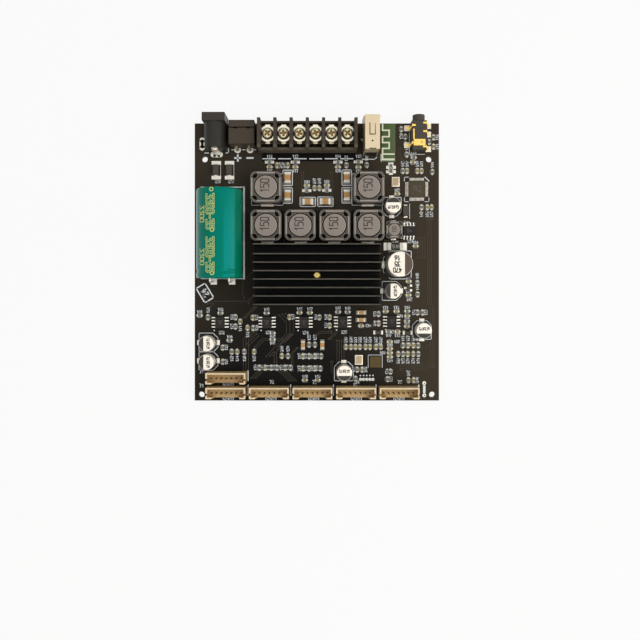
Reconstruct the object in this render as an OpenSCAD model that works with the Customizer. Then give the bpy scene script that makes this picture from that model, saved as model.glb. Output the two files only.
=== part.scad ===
// Audio amplifier board, millimetres, +Z up, +Y towards the connector edge.
// Board coordinates: origin at the board centre, z = 0 on the component side.

/* [Circuit board] */
// Board width, left to right
board_w = 99.6; // [98:0.2:130]
// Board length, front edge to connector edge
board_l = 113; // [112.6:0.2:130]
// Board thickness
board_t = 1.6; // [1.2:0.1:2.4]
// Mounting hole diameter
mount_hole_d = 2.4; // [2.2:0.1:3]
// Spacing of the rear pair of mounting holes
rear_hole_span = 91.4; // [90:0.2:92]
// Rear mounting holes, from the rear edge
rear_hole_inset = 14.6; // [14:0.2:15]
// Spacing of the front pair of mounting holes
front_hole_span = 94; // [93:0.2:94.4]
// Front mounting holes, from the front edge
front_hole_inset = 2.4; // [2.2:0.1:3]
// Cut length of the lead tails below the board
tail_len = 1.5; // [1.4:0.1:2.4]
// Gap around a lead in its drilled hole
lead_gap = 0.15; // [0.05:0.05:0.3]
// Land left around a drilled hole
land_w = 0.45; // [0.3:0.05:0.6]

/* [Heatsink] */
// Length of the extrusion, left to right
sink_l = 50; // [30:1:50]
// Depth of the extrusion, front to rear
sink_w = 24.6; // [20:0.2:24.8]
// Overall height
sink_h = 10; // [7:0.5:16]
// Base plate thickness
sink_base_t = 3; // [2:0.5:4]
// Number of fins
fin_count = 8; // [6:1:9]
// Fin thickness at the tip
fin_tip_t = 0.5; // [0.4:0.1:1]
// Fin thickness at the root
fin_root_t = 1; // [0.8:0.1:1.2]
// Clear step between the rearmost two fins
rear_fin_step = 3.8; // [3:0.1:4.5]
// Heatsink centre, from the board centre
sink_y = -5.2; // [-5.6:0.1:-4.8]
// Thermal pad thickness
pad_t = 0.4; // [0.2:0.1:1]
// Fixing screw diameter
sink_screw_d = 2.9; // [2:0.1:3]
// Fixing screw head height
sink_screw_head_h = 1.2; // [0.8:0.1:1.3]

/* [Amplifier chips] */
// Package length
amp_l = 11; // [8:0.5:14]
// Package width
amp_w = 6.2; // [4:0.2:8]
// Package height above the board
amp_h = 1.2; // [1:0.1:1.6]
// Distance between the two packages
amp_step = 25; // [16:1:30]

/* [Direct current jack] */
// Flange width
jack_w = 9; // [8:0.2:9.4]
// Flange height
jack_h = 11; // [10.6:0.2:13]
// Flange thickness
jack_flange_t = 3.3; // [2:0.1:4]
// Overhang past the board edge
jack_overhang = 1.75; // [0:0.05:2.4]
// Housing length
jack_l = 13.3; // [12:0.1:14]
// Socket bore diameter
jack_bore_d = 6.4; // [5.5:0.1:6.5]
// Centre pin diameter
jack_pin_d = 2; // [1.3:0.1:2.5]
// Centre pin shank diameter, in the housing
jack_shank_d = 1.5; // [1:0.1:1.8]
// Socket bore depth
jack_bore_l = 9; // [8:0.1:10]
// Centre pin tip, behind the flange face
jack_pin_inset = 1.4; // [0.5:0.1:2]
// Socket axis height
jack_axis_z = 6.4; // [6:0.1:6.6]
// Barrel wall thickness
jack_wall = 0.95; // [0.8:0.05:1]

/* [Power header] */
// Contact spacing
power_pitch = 5.08; // [5:0.02:5.4]
// Housing height
power_h = 8.5; // [8:0.1:10]
// Housing depth
power_d = 9.4; // [8:0.2:9.8]
// Housing wall
power_wall = 1; // [0.8:0.1:1.2]
// Square contact size
power_pin = 0.8; // [0.6:0.05:0.9]
// Front face, behind the board edge
power_inset = 0.7; // [0.2:0.1:1.2]

/* [Terminal block] */
// Number of ways
ways = 6; // [6:1:6]
// Spacing of the ways
block_pitch = 6.35; // [6:0.05:6.6]
// Divider thickness
divider_t = 1.25; // [1:0.05:1.4]
// Divider height
divider_h = 11.4; // [11:0.1:14]
// Divider reach behind the rear wall
divider_reach = 0; // [0:0.1:1]
// Block depth without the dividers
block_d = 11.6; // [10.6:0.1:12]
// Height of the contact seat
block_seat_h = 5.2; // [4.6:0.1:6]
// Height of the front wall
block_front_h = 6.6; // [6.2:0.1:10.6]
// Front and rear wall thickness
block_wall = 0.9; // [0.7:0.1:1]
// Rear wall, from the board edge
block_inset = 0.5; // [0.4:0.1:1.6]
// Clamp screw thread diameter
clamp_d = 2.5; // [2:0.1:3]
// Clamp screw pitch
clamp_lead = 0.45; // [0.35:0.05:0.5]
// Clamp screw length under the head
clamp_l = 5; // [4.6:0.1:5.2]
// Clamp screw head diameter
clamp_head_d = 3.8; // [3.6:0.1:4.3]
// Clamp screw head height
clamp_head_h = 1.6; // [1.4:0.1:2]
// Radial running gap of the clamp screw
clamp_gap = 0.08; // [0.05:0.01:0.1]
// Clamp washer length
washer_l = 6.4; // [5.6:0.1:6.6]
// Clamp washer width
washer_w = 4.6; // [4.4:0.05:4.7]
// Clamp washer thickness
washer_t = 0.8; // [0.6:0.1:1.2]
// Contact plate thickness
plate_t = 0.8; // [0.6:0.1:1]

/* [Serial port] */
// Shell width
usb_w = 5.7; // [5.4:0.1:6.2]
// Shell height
usb_h = 13.2; // [12.8:0.1:14.4]
// Shell length
usb_l = 13.4; // [12:0.2:13.8]
// Shell sheet thickness
usb_sheet = 0.3; // [0.2:0.05:0.4]
// Tongue thickness
usb_tongue_t = 1.8; // [1.4:0.1:2]
// Overhang past the board edge
usb_overhang = 0.2; // [0:0.1:1]

/* [Audio jack] */
// Body width
audio_w = 6.2; // [5.8:0.1:6.4]
// Body length
audio_l = 11.6; // [11.4:0.1:12]
// Body height
audio_h = 5; // [4.8:0.1:5.6]
// Nose diameter
audio_nose_d = 4.9; // [4.4:0.1:5]
// Nose reach past the board edge
audio_nose_l = 2.6; // [2.5:0.1:3.5]
// Plug bore diameter
audio_bore_d = 3.6; // [3.5:0.05:3.7]
// Plug bore depth
audio_bore_l = 13; // [10:0.5:13]

/* [Reservoir capacitor] */
// Can diameter
res_d = 18; // [16:0.5:18]
// Can length
res_l = 35; // [30:0.5:36]
// Lead spacing
res_pitch = 7.5; // [5:0.5:7.5]
// Lead diameter
res_lead_d = 0.8; // [0.6:0.1:1]

/* [Output inductors] */
// Shield width
ind_w = 12.3; // [10:0.1:12.6]
// Shield height
ind_h = 7.4; // [5:0.1:9]
// Shield corner radius
ind_corner = 2.2; // [1.5:0.1:2.4]
// Gap between neighbouring inductors
ind_gap = 1.35; // [1:0.05:1.6]
// Gap between the two inductor rows
ind_row_gap = 2.9; // [2.4:0.1:3]
// Shield wall at its thinnest
ind_wall = 1.25; // [1:0.05:1.4]
// Shield rim round the corner pockets
ind_rim = 0.6; // [0.5:0.05:0.7]
// Core height over the shield
ind_core_rise = 0.4; // [0:0.1:0.8]
// Ring gap between core and shield
ind_ring = 0.45; // [0.3:0.05:0.6]
// Shield width of the converter inductor
conv_w = 6.8; // [6:0.1:7]
// Height of the converter inductor
conv_h = 3.8; // [3:0.1:5]

/* [Surface mount capacitors] */
// Small can diameter
can_d = 6.3; // [5:0.1:6.4]
// Small can height
can_h = 5.8; // [5.4:0.1:7.7]
// Large can diameter
bulk_d = 10; // [8:0.1:10.2]
// Large can height
bulk_h = 10.2; // [8:0.1:12.5]
// Base plate margin around a can
can_margin = 0.15; // [0.1:0.05:0.2]
// Base plate thickness
can_base_t = 1.1; // [0.8:0.1:1.4]

/* [Signal headers] */
// Contacts in one header
sig_ways = 7; // [7:1:7]
// Contact spacing
sig_pitch = 2; // [1.9:0.05:2]
// Housing depth
sig_d = 4.5; // [4.2:0.1:4.8]
// Housing height
sig_h = 6; // [5:0.1:7]
// Housing wall
sig_wall = 0.6; // [0.5:0.05:0.8]
// Housing floor
sig_floor = 1.6; // [1.2:0.1:2]
// Square contact size
sig_pin = 0.5; // [0.4:0.05:0.6]
// Gap between neighbouring headers
sig_gap = 1.5; // [1.2:0.1:1.6]
// Header row, from the front edge
sig_inset = 3.8; // [3.4:0.1:4]

/* [Chip parts] */
// Chip length
chip_l = 2; // [1.6:0.1:2.1]
// Chip width
chip_w = 1.2; // [0.8:0.05:1.3]
// Chip height
chip_h = 0.55; // [0.4:0.05:0.8]
// Large ceramic capacitor length
ceramic_l = 3.2; // [2.6:0.1:3.4]
// Large ceramic capacitor width
ceramic_w = 2.4; // [1.6:0.1:2.6]
// Large ceramic capacitor height
ceramic_h = 1.5; // [1:0.1:2]
// End cap share of a chip's length
cap_share = 0.22; // [0.15:0.01:0.3]

/* [Hidden] */
$fn = 48;

// Where the board sits: centred over all overhangs, resting on its lead tails.
rear_edge = board_l / 2;
front_edge = -board_l / 2;
board_y0 = -audio_nose_l / 2;
board_z0 = tail_len + board_t;
tail_z = -board_t - tail_len;
eps = 0.02;

// Small copper and solder heights
foil_t = 0.07;
foot_t = 0.2;

// Placements along the rear edge, each from its neighbour.
block_x = -3.7;
block_w = ways * block_pitch + divider_t;
power_w = 2 * power_pitch;
power_x = block_x - block_w / 2 - 1.3 - power_w / 2;
jack_x = power_x - power_w / 2 - 1.2 - jack_w / 2;
usb_x = block_x + block_w / 2 + 2.8 + usb_w / 2;
audio_x = 41.1;
antenna_x = 26.8;

// Heatsink section
sink_rear = sink_y + sink_w / 2;
sink_z = amp_h + pad_t;
fin_ys = [
    sink_rear - fin_root_t / 2,
    for (i = [1 : fin_count - 1])
        sink_rear - fin_root_t / 2 - rear_fin_step
        - (i - 1) * (sink_w - fin_root_t - rear_fin_step) / (fin_count - 2)
];
sink_screw_y = (fin_ys[3] + fin_ys[4]) / 2;
sink_screw_tip = sink_z + sink_base_t + 0.7;
amp_xs = [-amp_step / 2, amp_step / 2];

// Inductor rows
ind_step = ind_w + ind_gap;
ind_x0 = 0.25;
ind_foot = 0.75;
ind_y2 = sink_rear + 0.35 + ind_foot + ind_w / 2;
ind_y1 = ind_y2 + ind_w + ind_row_gap;
ind_places = [
    for (i = [-1.5 : 1 : 1.5]) [ind_x0 + i * ind_step, ind_y2],
    [ind_x0 - 1.5 * ind_step, ind_y1],
    [ind_x0 + 1.5 * ind_step, ind_y1]
];
ind_bore = ind_w / 2 - ind_wall;
conv_x = ind_x0 + 1.5 * ind_step + ind_w / 2 + 0.9 + conv_w / 2;
conv_y = 12.9;
conv_bore = conv_w / 2 - 0.6;
conv_rim = ind_rim * 0.6;

// Reservoir capacitor, lying with its leads towards the front
res_x = -38.3;
res_front_y = -6.8;
res_lead_y = res_front_y - 1.3;
res_axis_z = res_d / 2;
res_bung_d = res_d - 2.4;

// Surface mount capacitors: x, y, turn of the marked side from +X
can_places = [
    [-44.2, -32.85, 180], [-44.2, -40.3, 180], [11, -44.6, 270],
    [42.8, -27.7, 270], [30.55, 22.5, 90], [30.5, -11.8, 180]
];
bulk_place = [32.8, -1.2, 0];

// Signal headers
sig_w = (sig_ways - 1) * sig_pitch + 3.9;
sig_step = sig_w + sig_gap;
sig_x0 = -1.75;
sig_y = front_edge + sig_inset;
sig_places = [
    for (i = [-2 : 2]) [sig_x0 + i * sig_step, sig_y],
    [sig_x0 - 2 * sig_step, sig_y + sig_d + 1.4]
];
sig_pin_y = -0.35;

// Terminal block, y from the rear edge
block_rear = -block_inset;
block_front = block_rear - block_d;
clamp_reach = 5.3;
clamp_y = block_rear - clamp_reach;
plate_l = washer_l + 1.2;
plate_w = washer_w - 0.3;
plate_tongue = 2;
plate_front = clamp_y - plate_l / 2;
plate_rear = clamp_y + plate_l / 2;
pit_z = 2.4;
plate_z = block_seat_h;
washer_z = plate_z + plate_t;
washer_dish = 0.2;
dish_gap = 0.5;
head_z = washer_z + washer_t - washer_dish;
plate_tail_y = plate_front + 0.4;
plate_tail = [1, 0.8];
function way_x(k) = block_x + (k - (ways - 1) / 2) * block_pitch;
clamp_turns = [38, 4, 63, 20, 9, 50];

// Through leads as [x, y, size in x, size in y]
jack_tab = [2.4, 0.4];
jack_rear_y = rear_edge + jack_overhang - jack_l;
jack_tab_y = jack_rear_y - jack_tab[1] / 2;
jack_body_w = jack_bore_d + 2 * jack_wall;
jack_side_x = jack_x - jack_body_w / 2 - jack_tab[1] / 2;
jack_side_y = rear_edge - 8.4;
jack_low_y = rear_edge - 5;
power_rear = rear_edge - power_inset - power_d;
power_pin_y = power_rear - power_pin / 2 - 0.25;
usb_front = rear_edge + usb_overhang;
usb_leg = [usb_sheet, 1.6];
usb_leg_y = usb_front - 6.6;
usb_tail = [0.6, 0.5];
usb_tail_gap = 0.2;
usb_block_l = 3.2;
usb_block_rear = usb_front - usb_l + 0.1;
jack_leads = [
    [jack_x, jack_tab_y, jack_tab[0], jack_tab[1]],
    [jack_side_x, jack_side_y, jack_tab[1], jack_tab[0]],
    [jack_x, jack_low_y, jack_tab[0], jack_tab[1]]
];
power_leads = [
    for (s = [-0.5, 0.5]) [power_x + s * power_pitch, power_pin_y, power_pin, power_pin]
];
block_leads = [
    for (k = [0 : ways - 1])
        [way_x(k), rear_edge + plate_tail_y, plate_tail[0], plate_tail[1]]
];
usb_legs = [
    for (s = [-1, 1])
        [usb_x + s * (usb_w - usb_sheet) / 2, usb_leg_y, usb_leg[0], usb_leg[1]]
];
usb_tails = [
    for (s = [-1, 1], t = [0.6, 2.4])
        [usb_x + s * 1.25, usb_block_rear + t, usb_tail[0], usb_tail[1]]
];
sig_leads = [
    for (p = sig_places, i = [0 : sig_ways - 1])
        [p[0] + (i - (sig_ways - 1) / 2) * sig_pitch, p[1] + sig_pin_y, sig_pin, sig_pin]
];
square_leads = concat(jack_leads, power_leads, block_leads, usb_legs, usb_tails, sig_leads);
res_leads = [
    for (s = [-0.5, 0.5]) [res_x + s * res_pitch, res_lead_y]
];
test_holes = [
    for (i = [0 : 4]) [17.8 + 1.27 * i, -47.9],
    [43.8, -49.4],
    [43.8, -54.4]
];
function drill(l) = sqrt(l[2] * l[2] + l[3] * l[3]) + 2 * lead_gap;

// Dual-row chips: x, y, turn
op_amp_places = [
    [-39.4, -24.6, 0], [-20.3, -24.55, 0], [-5.2, -24.6, 0], [10.5, -24.4, 0], [30.5, -24.25, 0],
    [37.5, 12.6, 90]
];
radio_place = [40.7, 29.6];
control_place = [23.8, -40.7];
crystal_places = [[32.1, 32.6], [17.1, -39.9]];

// Two-lead semiconductors: x, y, turn, body length, body width, height
diode_places = [
    [-41, 37.4, 90, 4.3, 2.6, 2.1], [-35.6, 37.4, 90, 4.3, 2.6, 2.1], [36.1, 20.7, 90, 4.3, 2.6, 2.1],
    [25, -28.75, 0, 2.4, 1.4, 1.1], [37, -28.85, 0, 2.4, 1.4, 1.1]
];
transistor_place = [37.2, -10.6];

// Chip resistors lying along X and along Y
res_along_x = [
    [-47.8, -21.8], [-39.3, -20.8], [-20.5, -20.8], [-35.6, -31.9], [-18.1, -29], [-18.1, -31.6],
    [8.6, -20.3], [12.5, -20.3], [29.2, -28.4], [36.8, -20], [36.7, -24.1],
    [-19.3, 40.7], [-8.8, 40.7], [8.6, 40.7], [16.9, 40.8], [-4.1, 29.1], [4.05, 29.2],
    [39.4, 42.6], [30.1, 39.3], [30.1, 37.3]
];
res_along_y = [
    [-44.4, -22.5], [-33.2, -22.5], [-33.2, -26.3], [-26, -26.9], [-38.4, -34.9], [-38.4, -40.7],
    [-34.7, -36.6], [-29.6, -36.6], [1, -22.5], [-11.8, -38.3], [25.1, -21.2],
    [41, -20.6], [43, -20.6], [30, -44.7], [28.7, -47.8], [16.4, -43.9], [15.7, -47.6],
    [34.4, 54.1], [36.1, 51], [36.6, 43.8], [45.7, 48.9], [47.5, 50.8], [35, 37.1], [47, 36.7],
    [12, 39.4], [20.3, 39.5], [42.6, 22.3], [40.9, -8.6], [41, -13.2],
    for (x = [-23.6, -18.7, -16.3, -13.05, -10.75]) [x, -43.1],
    for (x = [-3.2, -0.8]) [x, -33.7],
    for (x = [-3.2, 1.7]) [x, -38.4],
    for (x = [-3.3, 1.45]) [x, -43.4],
    for (x = [35.1, 41.2]) [x, -34],
    for (x = [35.1, 41.3]) [x, -37.5]
];
// Chip capacitors lying along X and along Y
cap_along_x = [
    [-7.1, -20.6], [-2.9, -20.6], [-4.9, -48.2], [0.3, -48.2], [18, -26], [28, -20.1], [32.4, -20.1],
    [32.8, -28.4], [36.8, -22], [36.7, -26.2], [-19.3, 38.7], [-8.8, 38.7], [8.6, 38.7], [16.9, 38.6],
    [-4.1, 31.2], [4.05, 31.3], [39.1, 40.6], [32.7, 27.8], [40.2, 6.5], [37.4, -7.9], [37.3, -13.5],
    for (y = [-32.5, -35.3, -37, -38.7]) [29.7, y]
];
cap_along_y = [
    [-31.3, -24.3], [-28.3, -26.8], [-26.1, -22.7], [-32.5, -36.6], [-25.6, -36.6], [-21.1, -43.1],
    [-11.2, -22.4], [5.15, -22.5], [5.15, -25.9], [-14.3, -38.3], [25.1, -25],
    [18.4, -43.9], [37.3, -48.2], [39.4, -48.2], [-16.2, 39.4], [-11.9, 39.4], [-1, 30.1], [1, 30.1],
    [36.7, 37.1], [40.9, 37.1], [42.6, 37.1], [44.9, 22.3], [46.7, 22.3], [47.5, 47],
    for (x = [-5.7, -0.85]) [x, -38.4],
    for (x = [-5.75, -0.9]) [x, -43.4],
    for (x = [11.8, 13.85, 15.7, 17.5, 19.8, 21.6, 24, 26]) [x, -34.6],
    for (x = [37.1, 39.3]) [x, -34],
    for (x = [33.1, 37, 39.2]) [x, -37.5]
];
// Larger parts as x, y, turn, length, width, height
ceramic_places = concat(
    [for (p = [[-11.9, 34.3], [-11.9, 27.1], [12.15, 34.4], [12.15, 27.2]])
        [p[0], p[1], 90, ceramic_l, ceramic_w, ceramic_h]],
    [for (p = [[-3.7, 24.5], [3.45, 24.6]]) [p[0], p[1], 0, ceramic_l, ceramic_w, ceramic_h]],
    [for (p = [[-5.65, -33.8], [2.2, -33.8]]) [p[0], p[1], 90, ceramic_l, 1.6, 1.1]],
    [for (p = [[18.1, -20.6], [18, -23.6]]) [p[0], p[1], 0, ceramic_l, 1.6, 1.1]]
);
shunt_place = [32, 6.3, 0, 6.4, 3.1, 0.7];
function chip_set(along_x, along_y) = concat(
    [for (p = along_x) [p[0], p[1], 0, chip_l, chip_w, chip_h]],
    [for (p = along_y) [p[0], p[1], 90, chip_l, chip_w, chip_h]]
);
resistor_places = concat(chip_set(res_along_x, res_along_y), [shunt_place]);
capacitor_places = chip_set(cap_along_x, cap_along_y);

// Helpers

module on_board(x = 0, y = 0, turn = 0, z = 0) {
    translate([x, y + board_y0, z + board_z0])
        rotate(turn)
            children();
}

// Box centred in x and y, standing on z
module block(size, at = [0, 0, 0]) {
    translate([at[0] - size[0] / 2, at[1] - size[1] / 2, at[2]])
        cube(size);
}

// Cylinder along +Y from y
module rod_y(d, l, at) {
    translate(at)
        rotate([-90, 0, 0])
            cylinder(d = d, h = l);
}

// Square plate with rounded corners
module round_plate(w, r, h) {
    block([w, w - 2 * r, h]);
    block([w - 2 * r, w, h]);
    for (x = [-1, 1], y = [-1, 1])
        translate([x * (w / 2 - r), y * (w / 2 - r), 0])
            cylinder(r = r, h = h);
}

// Gull-wing lead: foot on the board, rising to a shoulder at x = 0, reaching along +X
module gull_lead(reach, rise, w, t) {
    translate([0, w / 2, 0])
        rotate([90, 0, 0])
            linear_extrude(w)
                polygon([
                    [0, rise], [0, rise + t], [reach * 0.45, rise + t], [reach * 0.6, t],
                    [reach, t], [reach, 0], [reach * 0.5, 0], [reach * 0.35, rise]
                ]);
}

// Moulded package with a soft draft line round its middle
module package(l, w, z0, z1) {
    mid = (z0 + z1) / 2;
    draft = 0.1 * (z1 - z0);
    intersection() {
        rotate([90, 0, 0])
            translate([0, 0, -w / 2])
                linear_extrude(w)
                    polygon([
                        [-l / 2 + draft, z0], [l / 2 - draft, z0], [l / 2, mid],
                        [l / 2 - draft, z1], [-l / 2 + draft, z1], [-l / 2, mid]
                    ]);
        rotate([90, 0, 90])
            translate([0, 0, -l / 2])
                linear_extrude(l)
                    polygon([
                        [-w / 2 + draft, z0], [w / 2 - draft, z0], [w / 2, mid],
                        [w / 2 - draft, z1], [-w / 2 + draft, z1], [-w / 2, mid]
                    ]);
    }
}

// Circuit board

module circuit_board() {
    color("#322c28")
        on_board()
            difference() {
                block([board_w, board_l, board_t], [0, 0, -board_t]);
                for (x = [-1, 1]) {
                    translate([x * rear_hole_span / 2, rear_edge - rear_hole_inset, -board_t - 1])
                        cylinder(d = mount_hole_d, h = board_t + 2);
                    translate([x * front_hole_span / 2, front_edge + front_hole_inset, -board_t - 1])
                        cylinder(d = mount_hole_d, h = board_t + 2);
                }
                for (l = square_leads)
                    translate([l[0], l[1], -board_t - 1])
                        cylinder(d = drill(l), h = board_t + 2, $fn = 24);
                for (l = res_leads)
                    translate([l[0], l[1], -board_t - 1])
                        cylinder(d = res_lead_d + 2 * lead_gap, h = board_t + 2, $fn = 24);
                for (p = test_holes)
                    translate([p[0], p[1], -board_t - 1])
                        cylinder(d = 0.7, h = board_t + 2, $fn = 24);
                translate([ind_x0 - 0.2, sink_screw_y, -board_t - 1])
                    cylinder(d = sink_screw_d + 0.4, h = board_t + 2);
            }
}

// Meandered printed antenna and its feed
module antenna_trace() {
    w = 0.6;
    bars = [53.7, 51.1, 48.7, 46.3];
    color("#8a8f66")
        on_board(antenna_x, rear_edge - 56.5) {
            block([w, 2.9, foil_t], [0, 54.85, 0]);
            for (b = bars)
                block([3.3, w, foil_t], [1.35, b, 0]);
            block([w, bars[0] - bars[1], foil_t], [2.7, (bars[0] + bars[1]) / 2, 0]);
            block([w, bars[1] - bars[2], foil_t], [0, (bars[1] + bars[2]) / 2, 0]);
            block([w, bars[2] - bars[3], foil_t], [2.7, (bars[2] + bars[3]) / 2, 0]);
            block([w, bars[3] - 41.6, foil_t], [0, (bars[3] + 41.6) / 2, 0]);
            block([5.2, w, foil_t], [2.3, 44, 0]);
            block([5.2, 0.8, foil_t], [2.3, 41.8, 0]);
        }
}

// Solder cones round the lead tails
module solder_joints() {
    color("#c9c9c4")
        on_board() {
            for (l = square_leads)
                translate([l[0], l[1], -board_t - 0.9])
                    difference() {
                        cylinder(d1 = drill(l), d2 = drill(l) + 2 * land_w, h = 0.9, $fn = 24);
                        block([l[2], l[3], 2], [0, 0, -0.5]);
                    }
            for (l = res_leads)
                translate([l[0], l[1], -board_t - 0.9])
                    difference() {
                        cylinder(d1 = res_lead_d + 0.3, d2 = res_lead_d + 2 * (lead_gap + land_w), h = 0.9, $fn = 24);
                        translate([0, 0, -0.5])
                            cylinder(d = res_lead_d + eps, h = 2, $fn = 24);
                    }
        }
}

// Heatsink and the chips it cools

module heatsink() {
    top = sink_z + sink_h;
    floor_z = sink_z + sink_base_t;
    root = fin_root_t / 2;
    tip = fin_tip_t / 2;
    // Section seen along X, from the rear bottom corner round over the fins
    section = [
        [sink_rear, sink_z],
        for (i = [0 : fin_count - 1], k = [0 : 3])
            [fin_ys[i] + (k < 2 ? 1 : -1) * (k == 1 || k == 2 ? tip : root), (k == 1 || k == 2) ? top : floor_z],
        [fin_ys[fin_count - 1] - root, sink_z]
    ];
    color("#161614")
        on_board(ind_x0 - 0.2)
            difference() {
                translate([-sink_l / 2, 0, 0])
                    rotate([90, 0, 90])
                        linear_extrude(sink_l)
                            polygon(section);
                translate([0, sink_screw_y, sink_z - 1])
                    cylinder(d = sink_screw_d + 0.1, h = sink_base_t + 2.2);
            }
}

// Fixing screw, driven from under the board, its end showing between the middle fins
module heatsink_screw() {
    head_bottom = -board_t - sink_screw_head_h;
    color("#b9a258")
        on_board(ind_x0 - 0.2, sink_screw_y)
            difference() {
                union() {
                    translate([0, 0, head_bottom])
                        cylinder(d = 2 * sink_screw_d, h = sink_screw_head_h);
                    translate([0, 0, -board_t - eps])
                        cylinder(d = sink_screw_d, h = board_t + eps + sink_screw_tip - 0.3);
                    translate([0, 0, sink_screw_tip - 0.3])
                        cylinder(d1 = sink_screw_d, d2 = sink_screw_d - 0.7, h = 0.3);
                }
                block([3, 0.7, 0.8], [0, 0, head_bottom - 0.1]);
                block([0.7, 3, 0.8], [0, 0, head_bottom - 0.1]);
            }
}

module thermal_pads() {
    color("#9aa0a4")
        for (x = amp_xs)
            on_board(x, sink_y, 0, amp_h)
                block([amp_l - 1, amp_w - 0.6, pad_t]);
}

module amplifier_chips() {
    color("#1f1e1d")
        for (x = amp_xs)
            on_board(x, sink_y)
                package(amp_l, amp_w, 0.1, amp_h);
}

module amplifier_chip_leads() {
    color("#b8b8b6")
        for (x = amp_xs, s = [0, 180], i = [-7.5 : 1 : 7.5])
            on_board(x, sink_y, 90 + s)
                translate([amp_w / 2, i * 0.65, 0])
                    gull_lead(1, 0.5, 0.28, 0.13);
}

// Direct current jack

module dc_jack_housing() {
    front = rear_edge + jack_overhang;
    back = front - jack_l;
    body_r = jack_body_w / 2;
    color("#37312d")
        on_board(jack_x)
            difference() {
                union() {
                    block([jack_w, jack_flange_t, jack_h], [0, front - jack_flange_t / 2, 0]);
                    block([jack_body_w, jack_l - 1, jack_axis_z], [0, (front - 1 + back) / 2, 0]);
                    rod_y(jack_body_w, jack_l - 1, [0, back, jack_axis_z]);
                }
                rod_y(jack_bore_d, jack_bore_l + 1, [0, front - jack_bore_l, jack_axis_z]);
                rod_y(jack_shank_d + 0.1, jack_l - jack_bore_l + 2, [0, back - 1, jack_axis_z]);
                block([jack_tab[0] + 0.2, jack_tab[1] + 0.2, 2.6], [0, jack_low_y, -0.5]);
                // Draft relief under the flange, beside the mouth
                for (s = [-1, 1])
                    block([1, 0.6, 4], [s * jack_w / 2, front - jack_flange_t / 2, 0.8]);
            }
}

module dc_jack_pin() {
    front = rear_edge + jack_overhang;
    tip_l = 0.4;
    rivet_t = 0.4;
    floor_y = front - jack_bore_l;
    rivet_y = jack_rear_y - jack_tab[1];
    tip = front - jack_pin_inset - tip_l;
    color("#d8cfa8")
        on_board(jack_x) {
            rod_y(jack_pin_d, tip - floor_y, [0, floor_y, jack_axis_z]);
            translate([0, tip, jack_axis_z])
                rotate([-90, 0, 0])
                    cylinder(d1 = jack_pin_d, d2 = jack_pin_d - 2 * tip_l, h = tip_l);
            // Shank through the housing and tab, riveted at the back
            rod_y(jack_shank_d, floor_y - rivet_y, [0, rivet_y, jack_axis_z]);
            rod_y(jack_shank_d + 1, rivet_t, [0, rivet_y - rivet_t, jack_axis_z]);
        }
}

module dc_jack_tabs() {
    color("#d0cdc4")
        on_board() {
            difference() {
                block([jack_tab[0], jack_tab[1], jack_axis_z + 1.6 - tail_z], [jack_x, jack_tab_y, tail_z]);
                rod_y(jack_shank_d + 0.1, 3, [jack_x, jack_rear_y - 2, jack_axis_z]);
            }
            block([jack_tab[1], jack_tab[0], 4 - tail_z], [jack_side_x, jack_side_y, tail_z]);
            block([jack_tab[0], jack_tab[1], 2 - tail_z], [jack_x, jack_low_y, tail_z]);
        }
}

// Power header

power_pin_z = power_h / 2 - 0.1;

module power_header_housing() {
    front = rear_edge - power_inset;
    mid = front - power_d / 2;
    color("#3b3430")
        on_board(power_x)
            difference() {
                block([power_w, power_d, power_h], [0, mid, 0]);
                block([power_w - 2 * power_wall, power_d, power_h - 2 * power_wall], [0, mid + 1.4, power_wall]);
                for (s = [-0.5, 0.5])
                    block([power_pin + 0.1, 4, power_pin + 0.1], [s * power_pitch, power_rear, power_pin_z - power_pin / 2 - 0.05]);
                // Groove across the roof, stepped over each contact
                block([power_w + 1, 0.4, 0.4], [0, front - 2.9, power_h - 0.3]);
                for (s = [-0.5, 0.5])
                    block([1.6, 0.4, 0.4], [s * power_pitch, front - 3.2, power_h - 0.3]);
            }
}

module power_header_pins() {
    color("#cfc8b4")
        on_board()
            for (l = power_leads) {
                top = power_pin_z + power_pin / 2;
                translate([l[0] - power_pin / 2, l[1] - power_pin / 2, power_pin_z - power_pin / 2])
                    cube([power_pin, power_d - 0.8, power_pin]);
                block([power_pin, power_pin, top - tail_z], [l[0], l[1], tail_z]);
            }
}

// Barrier terminal block

module terminal_block() {
    cell_w = block_pitch - divider_t;
    well_d = clamp_d + 1;
    color("#413934")
        on_board(0, rear_edge)
            difference() {
                union() {
                    block([block_w, block_d, block_seat_h], [block_x, block_front + block_d / 2, 0]);
                    block([block_w, block_wall, block_front_h], [block_x, block_front + block_wall / 2, 0]);
                    block([block_w, block_wall, washer_z], [block_x, block_rear - block_wall / 2, 0]);
                    for (k = [0 : ways])
                        block(
                            [divider_t, block_d + divider_reach, divider_h],
                            [way_x(k) - block_pitch / 2, block_front + (block_d + divider_reach) / 2, 0]
                        );
                }
                for (k = [0 : ways - 1]) {
                    translate([way_x(k), clamp_y, 0.8])
                        cylinder(d = well_d, h = block_seat_h);
                    block([plate_tail[0] + 0.2, plate_tail[1] + 0.2, block_seat_h + 1], [way_x(k), plate_tail_y, -0.5]);
                    // Pits in front of the contact plate and behind it
                    block(
                        [cell_w, plate_front - block_front - block_wall, block_seat_h],
                        [way_x(k), (plate_front + block_front + block_wall) / 2, pit_z]
                    );
                    block(
                        [cell_w, block_rear - block_wall - plate_rear, block_seat_h],
                        [way_x(k), (block_rear - block_wall + plate_rear) / 2, pit_z]
                    );
                }
            }
}

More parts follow.
